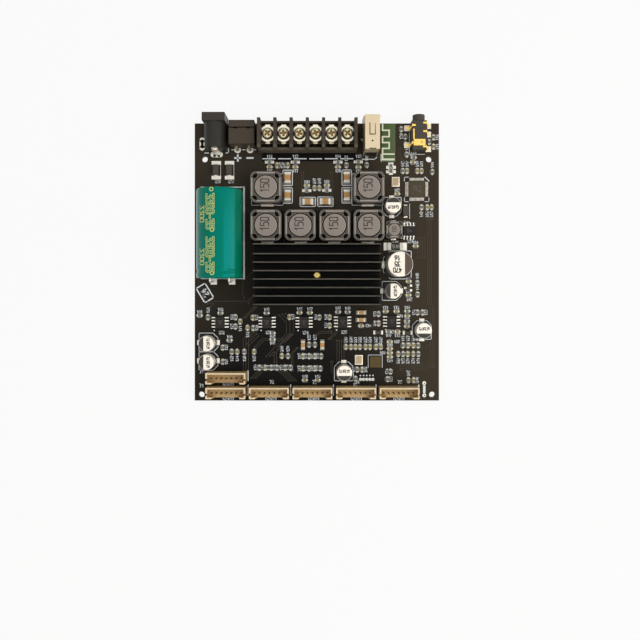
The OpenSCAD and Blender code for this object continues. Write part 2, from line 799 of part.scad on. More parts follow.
// Contact plates: a round seat with a tongue at both ends and a soldered tail
module terminal_plates() {
    color("#d9c9a0")
        on_board(0, rear_edge)
            for (k = [0 : ways - 1])
                difference() {
                    union() {
                        intersection() {
                            block([plate_w, washer_l, plate_t], [way_x(k), clamp_y, plate_z]);
                            translate([way_x(k), clamp_y, plate_z])
                                cylinder(d = washer_l, h = plate_t);
                        }
                        block([plate_tongue, plate_l, plate_t], [way_x(k), clamp_y, plate_z]);
                        block(
                            [plate_tail[0], plate_tail[1], plate_z + plate_t / 2 - tail_z],
                            [way_x(k), plate_tail_y, tail_z]
                        );
                    }
                    translate([way_x(k), clamp_y, plate_z - 1])
                        cylinder(d = clamp_d + 2 * clamp_gap, h = plate_t + 2);
                    // Crease across the front tongue, in front of the washer
                    block(
                        [plate_tongue + 1, 0.3, plate_t],
                        [way_x(k), clamp_y - washer_l / 2 - 0.15, plate_z + plate_t - 0.3]
                    );
                }
}

module clamp_washer(k) {
    color("#e6d8b4")
        on_board(way_x(k), rear_edge + clamp_y, 0, washer_z)
            difference() {
                intersection() {
                    cylinder(d = washer_l, h = washer_t);
                    block([washer_w, washer_l, washer_t]);
                }
                translate([0, 0, -1])
                    cylinder(d = clamp_d + 2 * clamp_gap, h = washer_t + 2);
                translate([0, 0, washer_t - washer_dish])
                    cylinder(d = clamp_head_d + 2 * dish_gap, h = washer_dish + eps);
                // Wire grooves pressed into the underside
                for (s = [-1, 1])
                    block([washer_w + 1, 0.5, 0.25], [0, s * 2.4, -eps]);
            }
}

module terminal_screw(k) {
    crown = 0.55;
    rim = clamp_head_d / 2;
    // Head profile: straight rim under a rounded crown
    profile = [
        [0, 0], [rim, 0],
        for (a = [0 : 18 : 90]) [rim - 0.9 * (1 - cos(a)), clamp_head_h - crown + crown * sin(a)],
        [0, clamp_head_h]
    ];
    color("#d8b873")
        on_board(way_x(k), rear_edge + clamp_y, clamp_turns[k], head_z)
            difference() {
                union() {
                    rotate_extrude()
                        polygon(profile);
                    translate([0, 0, clamp_lead - clamp_l])
                        cylinder(d = clamp_d, h = clamp_l);
                    // Thread run-out, one pitch long
                    translate([0, 0, -clamp_l])
                        cylinder(d1 = clamp_d - 0.6, d2 = clamp_d, h = clamp_lead);
                }
                block([2.7, 0.95, 2], [0, 0, clamp_head_h - 1]);
                block([0.95, 2.7, 2], [0, 0, clamp_head_h - 1]);
            }
}

module clamp_washer_1() { clamp_washer(0); }
module clamp_washer_2() { clamp_washer(1); }
module clamp_washer_3() { clamp_washer(2); }
module clamp_washer_4() { clamp_washer(3); }
module clamp_washer_5() { clamp_washer(4); }
module clamp_washer_6() { clamp_washer(5); }
module terminal_screw_1() { terminal_screw(0); }
module terminal_screw_2() { terminal_screw(1); }
module terminal_screw_3() { terminal_screw(2); }
module terminal_screw_4() { terminal_screw(3); }
module terminal_screw_5() { terminal_screw(4); }
module terminal_screw_6() { terminal_screw(5); }

// Serial port standing on its side

module usb_shell() {
    inner_w = usb_w - 2 * usb_sheet;
    mid = usb_front - usb_l / 2;
    rear = usb_front - usb_l;
    tail_end = usb_tails[1][1] + usb_tail[1] / 2 + usb_tail_gap;
    color("#dccba9")
        on_board(usb_x) {
            difference() {
                block([usb_w, usb_l, usb_h], [0, mid, 0]);
                block([inner_w, usb_l + 2, usb_h - 2 * usb_sheet], [0, mid, usb_sheet]);
                // Retaining spring in the upper wall
                for (s = [-1, 1])
                    block([0.35, 4.6, 1], [s * 1.05, usb_front - 5.5, usb_h - 0.8]);
                block([2.1, 0.4, 1], [0, usb_front - 7.7, usb_h - 0.8]);
                translate([0, usb_front - 10.2, usb_h - 1])
                    cylinder(d = 0.7, h = 2, $fn = 24);
                // Springs in both side walls
                for (s = [-1, 1], z = [3.6, 9.4], e = [-0.9, 0.9])
                    block([1, 4.6, 0.35], [s * usb_w / 2, usb_front - 5.5, z + e - 0.175]);
                for (s = [-1, 1], z = [3.6, 9.4])
                    block([1, 0.4, 2.1], [s * usb_w / 2, usb_front - 7.7, z - 1.05]);
                // Rear edge of the upper wall, notched in the middle
                block([inner_w - 2.4, 0.8, 3], [0, rear, usb_h - 1.5]);
                // Lower wall cut back round the contact tails
                block([inner_w, 2 * (tail_end - rear), 1], [0, rear, -0.5]);
            }
            // Flared lips round the mouth
            for (s = [-1, 1])
                translate([s * usb_w / 2, usb_front, 2])
                    linear_extrude(usb_h - 4)
                        polygon([
                            [0, 0], [s * 0.5, 0], [s * 0.5, -0.25], [0, -1.1], [-s * usb_sheet, -1.1], [-s * usb_sheet, -0.4]
                        ]);
            for (l = usb_legs)
                block([l[2], l[3], usb_sheet - tail_z], [l[0] - usb_x, l[1], tail_z]);
        }
}

module usb_insulator() {
    fit = 0.05;
    back = usb_block_rear;
    color("#1d1b1a")
        on_board(usb_x) {
            block(
                [usb_w - 2 * usb_sheet - 2 * fit, usb_block_l, usb_h - 2 * usb_sheet - 2 * fit],
                [0, back + usb_block_l / 2, usb_sheet + fit]
            );
            block(
                [usb_tongue_t, usb_front - 1.6 - back, usb_h - 2.4],
                [-0.5, (usb_front - 1.6 + back) / 2, 1.2]
            );
        }
}

module usb_contacts() {
    x = -0.5 + usb_tongue_t / 2;
    start = usb_block_rear + usb_block_l;
    end = usb_front - 2;
    color("#e3c878")
        on_board(usb_x) {
            for (i = [-1.75, -0.5, 0.5, 1.75])
                block([0.2, end - start, 0.9], [x + 0.1, (start + end) / 2, usb_h / 2 + i * 2 - 0.45]);
            for (l = usb_tails)
                block([l[2], l[3], usb_sheet + 0.05 - tail_z], [l[0] - usb_x, l[1], tail_z]);
        }
}

// Audio jack: straps as [side, y from the rear edge, width, top, reach over the top]
audio_axis_z = audio_h / 2;
audio_step_y = -7.3;
audio_step_h = 0.5;
audio_low = audio_h - audio_step_h;
audio_pocket = 0.35;
audio_strap_t = 0.25;
audio_feet = [
    [-1, -1.9, 1.2, audio_h, 1.4], [-1, -8.8, 1.2, audio_low, 1.2],
    [1, -1, 1.2, audio_h, 1.6], [1, -4.4, 1.2, audio_h, 1.6], [1, -10.4, 1.2, audio_low, 1.6]
];

module audio_jack_body() {
    color("#35302c")
        on_board(audio_x, rear_edge)
            difference() {
                union() {
                    block([audio_w, audio_l, audio_h], [0, -audio_l / 2, 0]);
                    rod_y(audio_nose_d, audio_nose_l + 1, [0, -1, audio_axis_z]);
                }
                rod_y(audio_bore_d, audio_bore_l + 1, [0, audio_nose_l - audio_bore_l, audio_axis_z]);
                for (f = audio_feet)
                    block([2 * audio_pocket, f[2] + 0.2, audio_h + 1], [f[0] * audio_w / 2, f[1], -0.1]);
                block([audio_w + 1, audio_l, 1], [0, audio_step_y - audio_l / 2, audio_h - audio_step_h]);
                // Front corner beside the spring plate
                block([1.2, 3.6, audio_h + 1], [-audio_w / 2, -audio_l, -0.1]);
            }
}

module audio_jack_contacts() {
    foot_l = 1.9;
    inner = audio_w / 2 - audio_pocket;
    t = audio_strap_t;
    strip_w = 0.55;
    strip_x = -2.3;
    strip_l = 3.9;
    color("#e0b95c")
        on_board(audio_x, rear_edge) {
            for (f = audio_feet) {
                block([foot_l, f[2], foot_t], [f[0] * (inner + foot_l / 2), f[1], 0]);
                block([t, f[2], f[3] + t], [f[0] * (inner + t / 2), f[1], 0]);
                block([f[4], f[2] * 0.6, t], [f[0] * (inner + t - f[4] / 2), f[1], f[3]]);
            }
            // Spring plate over the lower part of the body, and the strip that runs up to it
            difference() {
                block([4.7, 2.6, 0.3], [0.05, audio_step_y - 1.4, audio_low]);
                translate([1, audio_step_y - 1.3, audio_low - 1])
                    cylinder(d = 0.5, h = 2, $fn = 24);
            }
            block([strip_w, strip_l, 0.3], [strip_x, audio_step_y + strip_l / 2, audio_h]);
            block([strip_w, 0.3, audio_step_h + 0.3], [strip_x, audio_step_y - 0.15, audio_low]);
        }
}

// Reservoir capacitor

module reservoir_can() {
    r = res_d / 2;
    bung_r = res_bung_d / 2;
    // Half section along the can, leads at h = 0
    profile = [
        [bung_r + 0.05, 0], [r - 0.5, 0], [r - 0.15, 0.15], [r, 0.6], [r, 1.8],
        [r - 0.2, 2.5], [r - 0.2, 3], [r, 3.7],
        [r, res_l - 0.9], [r - 0.25, res_l - 0.25], [r - 0.9, res_l],
        [0, res_l], [0, 3.4], [bung_r + 0.05, 3.4]
    ];
    color("#0a7d64")
        on_board(res_x, res_front_y, 0, res_axis_z)
            rotate([-90, 0, 0])
                rotate_extrude($fn = 96)
                    polygon(profile);
}

module reservoir_bung() {
    color("#262322")
        on_board(res_x, res_front_y, 0, res_axis_z)
            difference() {
                rod_y(res_bung_d, 3, [0, 0.4, 0]);
                for (s = [-0.5, 0.5])
                    rod_y(res_lead_d + 0.1, 6, [s * res_pitch, -1, 0]);
            }
}

module reservoir_leads() {
    bend = 0.8;
    color("#cfcfca")
        for (l = res_leads)
            on_board(l[0], l[1]) {
                rod_y(res_lead_d, 1.3 - bend + 2.6, [0, bend, res_axis_z]);
                translate([0, bend, res_axis_z - bend])
                    rotate([90, 0, -90])
                        rotate_extrude(angle = 90)
                            translate([bend, 0])
                                circle(d = res_lead_d);
                translate([0, 0, tail_z])
                    cylinder(d = res_lead_d, h = res_axis_z - bend - tail_z);
            }
}

// Inductors

// Curved pocket in one corner of a shield
module corner_pocket(w, corner, rim, bore, h, x, y) {
    depth = 2.4;
    difference() {
        intersection() {
            translate([0, 0, h - depth])
                round_plate(w - 2 * rim, corner - rim, depth + 1);
            block([w / 2, w / 2, h + 2], [x * w * 0.53, y * w * 0.53, 0]);
        }
        cylinder(r = bore + rim * 0.8, h = h + 2);
    }
}

module inductor_shields() {
    color("#6a625e") {
        for (p = ind_places)
            on_board(p[0], p[1])
                difference() {
                    round_plate(ind_w, ind_corner, ind_h);
                    translate([0, 0, -1])
                        cylinder(r = ind_bore, h = ind_h + 2);
                    for (x = [-1, 1], y = [-1, 1])
                        corner_pocket(ind_w, ind_corner, ind_rim, ind_bore, ind_h, x, y);
                }
        on_board(conv_x, conv_y)
            difference() {
                round_plate(conv_w, 0.9, conv_h);
                translate([0, 0, -1])
                    cylinder(r = conv_bore, h = conv_h + 2);
                for (x = [-1, 1], y = [-1, 1])
                    corner_pocket(conv_w, 0.9, conv_rim, conv_bore, conv_h, x, y);
            }
    }
}

// Drum core: two flanges on a hub
module drum(r, h, hub, flange) {
    rotate_extrude()
        polygon([
            [0, 0], [r, 0], [r, flange], [hub, flange],
            [hub, h - flange], [r, h - flange], [r, h - 0.2], [r - 0.2, h], [0, h]
        ]);
}

module inductor_cores() {
    color("#7d7570") {
        for (p = ind_places)
            on_board(p[0], p[1])
                drum(ind_bore - ind_ring, ind_h + ind_core_rise, 2.4, 1.5);
        on_board(conv_x, conv_y)
            drum(conv_bore - 0.35, conv_h - 0.1, 1.2, 0.8);
    }
}

module winding(r0, r1, z0, z1) {
    translate([0, 0, z0])
        difference() {
            cylinder(r = r1, h = z1 - z0);
            translate([0, 0, -1])
                cylinder(r = r0, h = z1 - z0 + 2);
        }
}

module inductor_windings() {
    color("#b06a35") {
        for (p = ind_places)
            on_board(p[0], p[1])
                winding(2.45, ind_bore - ind_ring - 0.2, 1.5, ind_h - 1.75);
        on_board(conv_x, conv_y)
            winding(1.25, conv_bore - 0.5, 0.8, conv_h - 0.95);
    }
}

// Solder clips at the front and rear of each shield
module end_clips(w, clip_w, foot, rise) {
    for (s = [-1, 1]) {
        block([clip_w, foot, foot_t], [0, s * (w + foot) / 2, 0]);
        block([clip_w, foot_t, rise], [0, s * (w + foot_t) / 2, 0]);
    }
}

module inductor_terminals() {
    color("#d9d4c8") {
        for (p = ind_places)
            on_board(p[0], p[1])
                end_clips(ind_w, 5, ind_foot, 1.3);
        on_board(conv_x, conv_y)
            end_clips(conv_w, 2.2, 0.6, 0.7);
    }
}

// Surface mount electrolytic capacitors, drawn with the marked side towards +X

module can_base(d, t) {
    w = d / 2 + can_margin;
    cut = w * 0.3;
    linear_extrude(t)
        polygon([[w, w], [-w + cut, w], [-w, w - cut], [-w, -w + cut], [-w + cut, -w], [w, -w]]);
}

module can_body(d, t, h) {
    r = d / 2;
    neck = t + 0.9;
    translate([0, 0, 0])
        rotate_extrude()
            polygon([
                [0, t], [r - 0.15, t], [r, t + 0.2], [r, neck], [r - 0.25, neck + 0.3], [r - 0.25, neck + 0.5],
                [r, neck + 0.8], [r, h - 0.4], [r - 0.12, h - 0.12], [r - 0.4, h], [0, h]
            ]);
}

module can_feet(d, foot_w) {
    w = d / 2 + can_margin;
    for (s = [-1, 1])
        block([0.9, foot_w, foot_t], [s * (w + 0.45), 0, 0]);
}

module electrolytic_bases() {
    color("#1b1a19") {
        for (p = can_places)
            on_board(p[0], p[1], p[2])
                can_base(can_d, can_base_t);
        on_board(bulk_place[0], bulk_place[1], bulk_place[2])
            can_base(bulk_d, can_base_t);
    }
}

module electrolytic_cans() {
    color("#cfccc6") {
        for (p = can_places)
            on_board(p[0], p[1], p[2])
                can_body(can_d, can_base_t, can_h);
        on_board(bulk_place[0], bulk_place[1], bulk_place[2])
            can_body(bulk_d, can_base_t, bulk_h);
    }
}

module electrolytic_terminals() {
    color("#d9d6cc") {
        for (p = can_places)
            on_board(p[0], p[1], p[2])
                can_feet(can_d, 0.8);
        on_board(bulk_place[0], bulk_place[1], bulk_place[2])
            can_feet(bulk_d, 1.1);
    }
}

// Signal headers

module sig_housing() {
    gate = sig_w * 0.6;
    slope = 0.9;
    difference() {
        block([sig_w, sig_d, sig_h]);
        block([sig_w - 2 * sig_wall, sig_d - 2 * sig_wall, sig_h], [0, 0, sig_floor]);
        // Gate in the front wall, its ends sloping
        translate([0, -sig_d / 2 + sig_wall + 0.2, 0])
            rotate([90, 0, 0])
                linear_extrude(sig_wall + 1)
                    polygon([
                        [-gate / 2, sig_floor], [gate / 2, sig_floor],
                        [gate / 2 + slope, sig_h + 0.1], [-gate / 2 - slope, sig_h + 0.1]
                    ]);
        // Keying notches in the short walls
        for (s = [-1, 1])
            block([2 * sig_wall + 0.4, 0.9, sig_h], [s * sig_w / 2, -0.5, sig_floor + 1.2]);
        for (i = [0 : sig_ways - 1])
            block(
                [sig_pin + 0.06, sig_pin + 0.06, sig_h],
                [(i - (sig_ways - 1) / 2) * sig_pitch, sig_pin_y, -1]
            );
    }
}

module signal_header_housings() {
    color("#e8d6b0")
        for (p = sig_places)
            on_board(p[0], p[1])
                sig_housing();
}

module signal_header_pins() {
    top = sig_floor + 3.4;
    color("#d5cdb8")
        on_board()
            for (l = sig_leads) {
                block([sig_pin, sig_pin, top - 0.3 - tail_z], [l[0], l[1], tail_z]);
                block([sig_pin - 0.2, sig_pin - 0.2, 0.3], [l[0], l[1], top - 0.3]);
            }
}

// Chips

module op_amp_chips() {
    color("#2b2826")
        for (p = op_amp_places)
            on_board(p[0], p[1], p[2])
                package(3.9, 4.9, 0.15, 1.6);
}

module op_amp_leads() {
    color("#cfcac0")
        for (p = op_amp_places, s = [0, 180], i = [-1.5 : 1 : 1.5])
            on_board(p[0], p[1], p[2] + s)
                translate([1.95, i * 1.27, 0])
                    gull_lead(1.1, 0.75, 0.42, 0.2);
}

module radio_chip() {
    color("#302b28")
        on_board(radio_place[0], radio_place[1])
            difference() {
                package(7, 7, 0.1, 1.5);
                translate([-2.6, -2.6, 1.4])
                    cylinder(d = 0.8, h = 1, $fn = 24);
            }
}

module radio_chip_leads() {
    color("#d2cdc2")
        for (q = [0 : 90 : 270], i = [-5.5 : 1 : 5.5])
            on_board(radio_place[0], radio_place[1], q)
                translate([3.5, i * 0.5, 0])
                    gull_lead(1, 0.73, 0.22, 0.14);
}

module control_chip() {
    color("#5b4d36")
        on_board(control_place[0], control_place[1])
            difference() {
                block([4.5, 4.5, 0.85]);
                translate([-1.6, 1.6, 0.75])
                    cylinder(d = 0.6, h = 1, $fn = 24);
            }
}

module crystals() {
    color("#d9c299")
        for (p = crystal_places)
            on_board(p[0], p[1]) {
                block([3.2, 4, 0.6]);
                block([2.6, 3.4, 0.9]);
            }
}

// Diodes and the small transistor

module small_semiconductors() {
    color("#3a332e") {
        for (p = diode_places)
            on_board(p[0], p[1], p[2])
                package(p[3], p[4], 0.1, p[5]);
        on_board(transistor_place[0], transistor_place[1])
            package(1.3, 2.9, 0.1, 1);
    }
}

module small_semiconductor_leads() {
    reach = 0.5;
    color("#d6d2c8") {
        for (p = diode_places, s = [0, 180])
            on_board(p[0], p[1], p[2] + s)
                translate([p[3] / 2, 0, 0]) {
                    block([reach, p[4] * 0.55, foot_t], [reach / 2, 0, 0]);
                    block([0.2, p[4] * 0.55, p[5] / 2 + 0.2], [0.1, 0, 0]);
                }
        for (q = [[0, 0], [180, 0.95], [180, -0.95]])
            on_board(transistor_place[0], transistor_place[1], 180 + q[0])
                translate([0.65, q[1], 0])
                    gull_lead(0.6, 0.5, 0.42, 0.13);
    }
}

// Chip parts

// Middle of a chip, drawn along X
module chip_middle(p) {
    cap = p[3] * cap_share;
    on_board(p[0], p[1], p[2])
        block([p[3] - 2 * cap, p[4] - 0.06, p[5] - 0.03]);
}

module chip_ends(p) {
    cap = p[3] * cap_share;
    for (s = [-1, 1])
        on_board(p[0], p[1], p[2])
            block([cap, p[4], p[5]], [s * (p[3] - cap) / 2, 0, 0]);
}

module chip_resistors() {
    color("#4a4541")
        for (p = resistor_places)
            chip_middle(p);
}

module chip_capacitors() {
    color("#c49a5c")
        for (p = capacitor_places)
            chip_middle(p);
}

module ceramic_capacitors() {
    color("#b07c40")
        for (p = ceramic_places)
            chip_middle(p);
}

module chip_end_caps() {
    color("#dad8d2")
        for (p = concat(resistor_places, capacitor_places, ceramic_places))
            chip_ends(p);
}

// Parts

circuit_board();
antenna_trace();
solder_joints();
heatsink();
heatsink_screw();
thermal_pads();
amplifier_chips();
amplifier_chip_leads();
dc_jack_housing();
dc_jack_pin();
dc_jack_tabs();
power_header_housing();
power_header_pins();
terminal_block();
terminal_plates();
clamp_washer_1();
clamp_washer_2();
clamp_washer_3();
clamp_washer_4();
clamp_washer_5();
clamp_washer_6();
terminal_screw_1();
terminal_screw_2();
terminal_screw_3();
terminal_screw_4();
terminal_screw_5();
terminal_screw_6();
usb_shell();
usb_insulator();
usb_contacts();
audio_jack_body();
audio_jack_contacts();
reservoir_can();
reservoir_bung();
reservoir_leads();
inductor_shields();
inductor_cores();
inductor_windings();
inductor_terminals();
electrolytic_bases();
electrolytic_cans();
electrolytic_terminals();
signal_header_housings();
signal_header_pins();
op_amp_chips();
op_amp_leads();
radio_chip();
radio_chip_leads();
control_chip();
crystals();
small_semiconductors();
small_semiconductor_leads();
chip_resistors();
chip_capacitors();
ceramic_capacitors();
chip_end_caps();
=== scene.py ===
"""Looks of an audio amplifier board: finishes, printing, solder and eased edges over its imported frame."""

import functools
import logging
import math
from dataclasses import dataclass, field
from enum import Enum
from typing import Iterable, Sequence, Union

import bmesh
import bpy
from mathutils import Matrix, Vector


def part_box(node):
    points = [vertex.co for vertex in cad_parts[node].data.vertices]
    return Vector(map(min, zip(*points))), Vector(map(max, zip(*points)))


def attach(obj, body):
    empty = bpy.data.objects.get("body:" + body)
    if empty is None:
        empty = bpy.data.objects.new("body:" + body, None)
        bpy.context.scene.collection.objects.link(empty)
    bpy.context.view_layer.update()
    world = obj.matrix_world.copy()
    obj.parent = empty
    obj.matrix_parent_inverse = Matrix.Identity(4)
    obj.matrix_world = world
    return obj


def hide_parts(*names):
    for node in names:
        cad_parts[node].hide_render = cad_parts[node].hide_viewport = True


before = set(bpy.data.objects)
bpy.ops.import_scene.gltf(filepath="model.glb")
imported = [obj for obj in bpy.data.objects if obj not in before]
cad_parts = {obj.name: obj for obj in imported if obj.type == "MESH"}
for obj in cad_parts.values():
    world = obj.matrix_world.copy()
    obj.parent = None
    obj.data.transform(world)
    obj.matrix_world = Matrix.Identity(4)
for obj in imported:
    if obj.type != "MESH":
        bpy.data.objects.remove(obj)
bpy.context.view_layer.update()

LOG = logging.getLogger("amplifier_board")
MM = 0.001
ROOT = "board"
# Distance at which the corners of a CAD mesh merge, in metres
MERGE = 0.002 * MM
# Angles between faces: dissolved below the first, eased above the second, shaded apart above the third
FLAT_DEG, EASED_DEG, SHARP_DEG = 1.0, 32.0, 42.0
DOME_SIDES, DOME_RINGS, DOME_FLOOR = 10, 6, -0.01
# Longest edge of a wrapped sheet, as a share of the radius, and the cuts that a longer one gets
WRAP_SHARE, WRAP_CUTS = 0.08, 3
NOISE_DETAIL = 3.0
CORNERS = ((-1, -1), (1, -1), (1, 1), (-1, 1))

Point = tuple[float, float]
Triple = tuple[float, float, float]
Colour = tuple[int, int, int]


class BoardFrame:
    """Board millimetres: x to the right, y towards the connectors, z up from the component side."""

    def __init__(self) -> None:
        """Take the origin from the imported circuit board."""
        low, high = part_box("circuit_board")
        middle = (low + high) / 2
        self.origin = Vector((middle.x, middle.y, high.z))
        self.half = (high - low) / (2 * MM)
        self.to_metres = Matrix.Translation(self.origin) @ Matrix.Scale(MM, 4)
        self.to_mm = self.to_metres.inverted()


BOARD = BoardFrame()


@dataclass(frozen=True, eq=False)
class Span:
    """A box in board millimetres."""

    low: Vector
    high: Vector
    mean: Vector

    @property
    def centre(self) -> Vector:
        """Middle of the box."""
        return (self.low + self.high) / 2

    @property
    def size(self) -> Vector:
        """Edge lengths of the box."""
        return self.high - self.low

    @property
    def spot(self) -> Point:
        """Middle of the box, seen from above."""
        return (self.centre.x, self.centre.y)

    @property
    def upright(self) -> bool:
        """Whether the box is longer along y than along x."""
        return self.size.y > self.size.x

    def grown(self, margin: float) -> Point:
        """Width and depth with a margin on every side."""
        return (self.size.x + 2 * margin, self.size.y + 2 * margin)


def swapped(size: Point, swap: bool) -> Point:
    """Width and depth, exchanged where asked."""
    return (size[1], size[0]) if swap else size


def span_of(points: Iterable[Vector]) -> Span:
    """Box round points in metres.

    Args:
        points: Places in the shared frame.

    Returns:
        The box in board millimetres.
    """
    placed = [BOARD.to_mm @ point for point in points]
    low = Vector([min(p[axis] for p in placed) for axis in range(3)])
    high = Vector([max(p[axis] for p in placed) for axis in range(3)])
    return Span(low, high, sum(placed, Vector()) / len(placed))


def span(node: str) -> Span:
    """Box of a CAD node, in board millimetres."""
    return span_of(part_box(node))


@functools.cache
def islands(node: str) -> tuple[Span, ...]:
    """Boxes of the separate solids in a CAD node.

    Args:
        node: Name of the CAD node.

    Returns:
        One box for each solid, in mesh order.
    """
    bm = bmesh.new()
    bm.from_mesh(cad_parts[node].data)
    bmesh.ops.remove_doubles(bm, verts=bm.verts, dist=MERGE)
    unseen = set(bm.verts)
    found = []
    for start in bm.verts:
        if start not in unseen:
            continue
        unseen.discard(start)
        group, queue = [start], [start]
        while queue:
            vert = queue.pop()
            for edge in vert.link_edges:
                other = edge.other_vert(vert)
                if other in unseen:
                    unseen.discard(other)
                    group.append(other)
                    queue.append(other)
        found.append(span_of(v.co for v in group))
    bm.free()
    return tuple(found)


class Wire:
    """A shader socket that takes part in sums."""

    def __init__(self, graph: "Graph", socket: bpy.types.NodeSocket) -> None:
        """Hold an output socket of the graph."""
        self.graph = graph
        self.socket = socket

    def __add__(self, other: "Number") -> "Wire":
        """Sum."""
        return self.graph.maths("ADD", self, other)

    __radd__ = __add__

    def __sub__(self, other: "Number") -> "Wire":
        """Difference."""
        return self.graph.maths("SUBTRACT", self, other)

    def __rsub__(self, other: "Number") -> "Wire":
        """Difference, the other way round."""
        return self.graph.maths("SUBTRACT", other, self)

    def __mul__(self, other: "Number") -> "Wire":
        """Product."""
        return self.graph.maths("MULTIPLY", self, other)

    __rmul__ = __mul__

    def __truediv__(self, other: "Number") -> "Wire":
        """Quotient."""
        return self.graph.maths("DIVIDE", self, other)

    def __rtruediv__(self, other: "Number") -> "Wire":
        """Quotient, the other way round."""
        return self.graph.maths("DIVIDE", other, self)

    def __gt__(self, other: "Number") -> "Wire":
        """One where this is greater, else nothing."""
        return self.graph.maths("GREATER_THAN", self, other)

    def clamped(self) -> "Wire":
        """Held between 0 and 1."""
        return self.graph.wire("ShaderNodeClamp", {}, {0: self})


Number = Union[Wire, float]
Setting = Union[str, bool, int, float]
Input = Union[Wire, float, tuple[float, ...]]


def linear(colour: Colour, gain: float = 1.0) -> tuple[float, float, float, float]:
    """Linear light of a screen colour.

    Args:
        colour: Red, green and blue from 0 to 255.
        gain: Factor on the light.

    Returns:
        Red, green, blue and alpha for a shader socket.
    """
    def light(value: int) -> float:
        """Light of one channel.

        Args:
            value: Channel from 0 to 255.

        Returns:
            Its light, at most 1.
        """
        share = value / 255
        plain = share / 12.92 if share <= 0.04045 else ((share + 0.055) / 1.055) ** 2.4
        return min(1.0, plain * gain)

    return (light(colour[0]), light(colour[1]), light(colour[2]), 1.0)


class Graph:
    """The node tree of one material or world."""

    def __init__(self, name: str) -> None:
        """Start an empty material.

        Args:
            name: Name of the material.
        """
        self.material = bpy.data.materials.new(name)
        self.material.use_nodes = True
        self.tree = self.material.node_tree
        self.tree.nodes.clear()

    @classmethod
    def of_tree(cls, tree: bpy.types.NodeTree) -> "Graph":
        """Graph over an existing tree, emptied.

        Args:
            tree: The tree.

        Returns:
            The graph, which has no material.
        """
        graph = cls.__new__(cls)
        graph.tree = tree
        tree.nodes.clear()
        return graph

    def node(
        self, kind: str, settings: dict[str, Setting], inputs: dict[Union[int, str], Input]
    ) -> bpy.types.Node:
        """Add a node.

        Args:
            kind: Node type.
            settings: Properties, set before the sockets.
            inputs: Values and links by socket name or index.

        Returns:
            The new node.
        """
        node = self.tree.nodes.new(kind)
        for key, value in settings.items():
            setattr(node, key, value)
        for key, value in inputs.items():
            if isinstance(value, Wire):
                self.tree.links.new(value.socket, node.inputs[key])
            else:
                node.inputs[key].default_value = value
        return node

    def wire(
        self,
        kind: str,
        settings: dict[str, Setting],
        inputs: dict[Union[int, str], Input],
        output: Union[int, str] = 0,
    ) -> Wire:
        """Add a node and take one of its outputs.

        Args:
            kind: Node type.
            settings: Properties, set before the sockets.
            inputs: Values and links by socket name or index.
            output: Socket to take.

        Returns:
            That output.
        """
        return Wire(self, self.node(kind, settings, inputs).outputs[output])

    def maths(self, operation: str, first: Number, second: Number) -> Wire:
        """One sum of two values."""
        return self.wire("ShaderNodeMath", {"operation": operation}, {0: first, 1: second})

    def part(self, vector: Wire, axis: int) -> Wire:
        """One part of a vector."""
        return self.wire("ShaderNodeSeparateXYZ", {}, {0: vector}, axis)

    def place(self, axis: int) -> Wire:
        """Object coordinate along an axis, in metres."""
        return self.part(self.place_vector(), axis)

    def place_vector(self) -> Wire:
        """Object coordinates, in metres."""
        return self.wire("ShaderNodeTexCoord", {}, {}, "Object")

    def upward(self) -> Wire:
        """How far the surface faces up."""
        return self.part(self.wire("ShaderNodeNewGeometry", {}, {}, "Normal"), 2)

    def noise(self, grain_mm: float, stretch: Triple = (1, 1, 1)) -> Wire:
        """Soft noise.

        Args:
            grain_mm: Size of one grain.
            stretch: Factor on the grain's frequency along each axis.

        Returns:
            Noise about one half.
        """
        scaled = self.wire(
            "ShaderNodeVectorMath", {"operation": "MULTIPLY"}, {0: self.place_vector(), 1: stretch}
        )
        inputs = {"Vector": scaled, "Scale": 1 / (grain_mm * MM), "Detail": NOISE_DETAIL}
        return self.wire("ShaderNodeTexNoise", {}, inputs)

    def blend(self, share: Number, first: Input, second: Input) -> Wire:
        """Colour between two colours."""
        settings = {"data_type": "RGBA"}
        return self.wire("ShaderNodeMix", settings, {0: share, 6: first, 7: second}, 2)

    def finish(self, shader: Wire) -> bpy.types.Material:
        """Wire the shader to the output."""
        self.node("ShaderNodeOutputMaterial", {}, {"Surface": shader})
        return self.material


@dataclass(frozen=True)
class Finish:
    """A surface finish: a mottled colour with a fine relief."""

    name: str
    slot: str
    colour: Colour
    rough: float = 0.5
    rough_spread: float = 0.12
    metal: float = 0.0
    mottle: float = 0.08
    grain_mm: float = 1.5
    relief_mm: float = 0.01
    relief_grain_mm: float = 0.25
    stretch: Triple = (1, 1, 1)
    gloss: float = 0.5
    gloss_tint: Colour = (255, 255, 255)

    def tint(self, graph: Graph, grain: Wire) -> Wire:
        """Base colour.

        Args:
            graph: Tree of the material.
            grain: Noise of the finish.

        Returns:
            The colour socket.
        """
        dark = linear(self.colour, 1 - self.mottle)
        light = linear(self.colour, 1 + self.mottle)
        return graph.blend(grain, dark, light)

    def relief(self, graph: Graph) -> Wire:
        """Height of the fine surface."""
        return graph.noise(self.relief_grain_mm, self.stretch)

    def roughness(self, grain: Wire) -> Wire:
        """Roughness with a little spread."""
        return self.rough + (grain - 0.5) * self.rough_spread

    @functools.cache
    def material(self) -> bpy.types.Material:
        """The material, made once.

        Returns:
            A material for piece and node slots.
        """
        graph = Graph(self.name)
        grain = graph.noise(self.grain_mm, self.stretch)
        bump = graph.wire(
            "ShaderNodeBump",
            {},
            {"Strength": 1.0, "Distance": self.relief_mm * MM, "Height": self.relief(graph)},
        )
        shader = graph.wire(
            "ShaderNodeBsdfPrincipled",
            {},
            {
                "Base Color": self.tint(graph, grain),
                "Roughness": self.roughness(grain),
                "Metallic": self.metal,
                "Specular IOR Level": self.gloss,
                "Specular Tint": linear(self.gloss_tint),
                "Normal": bump,
            },
        )
        return graph.finish(shader)


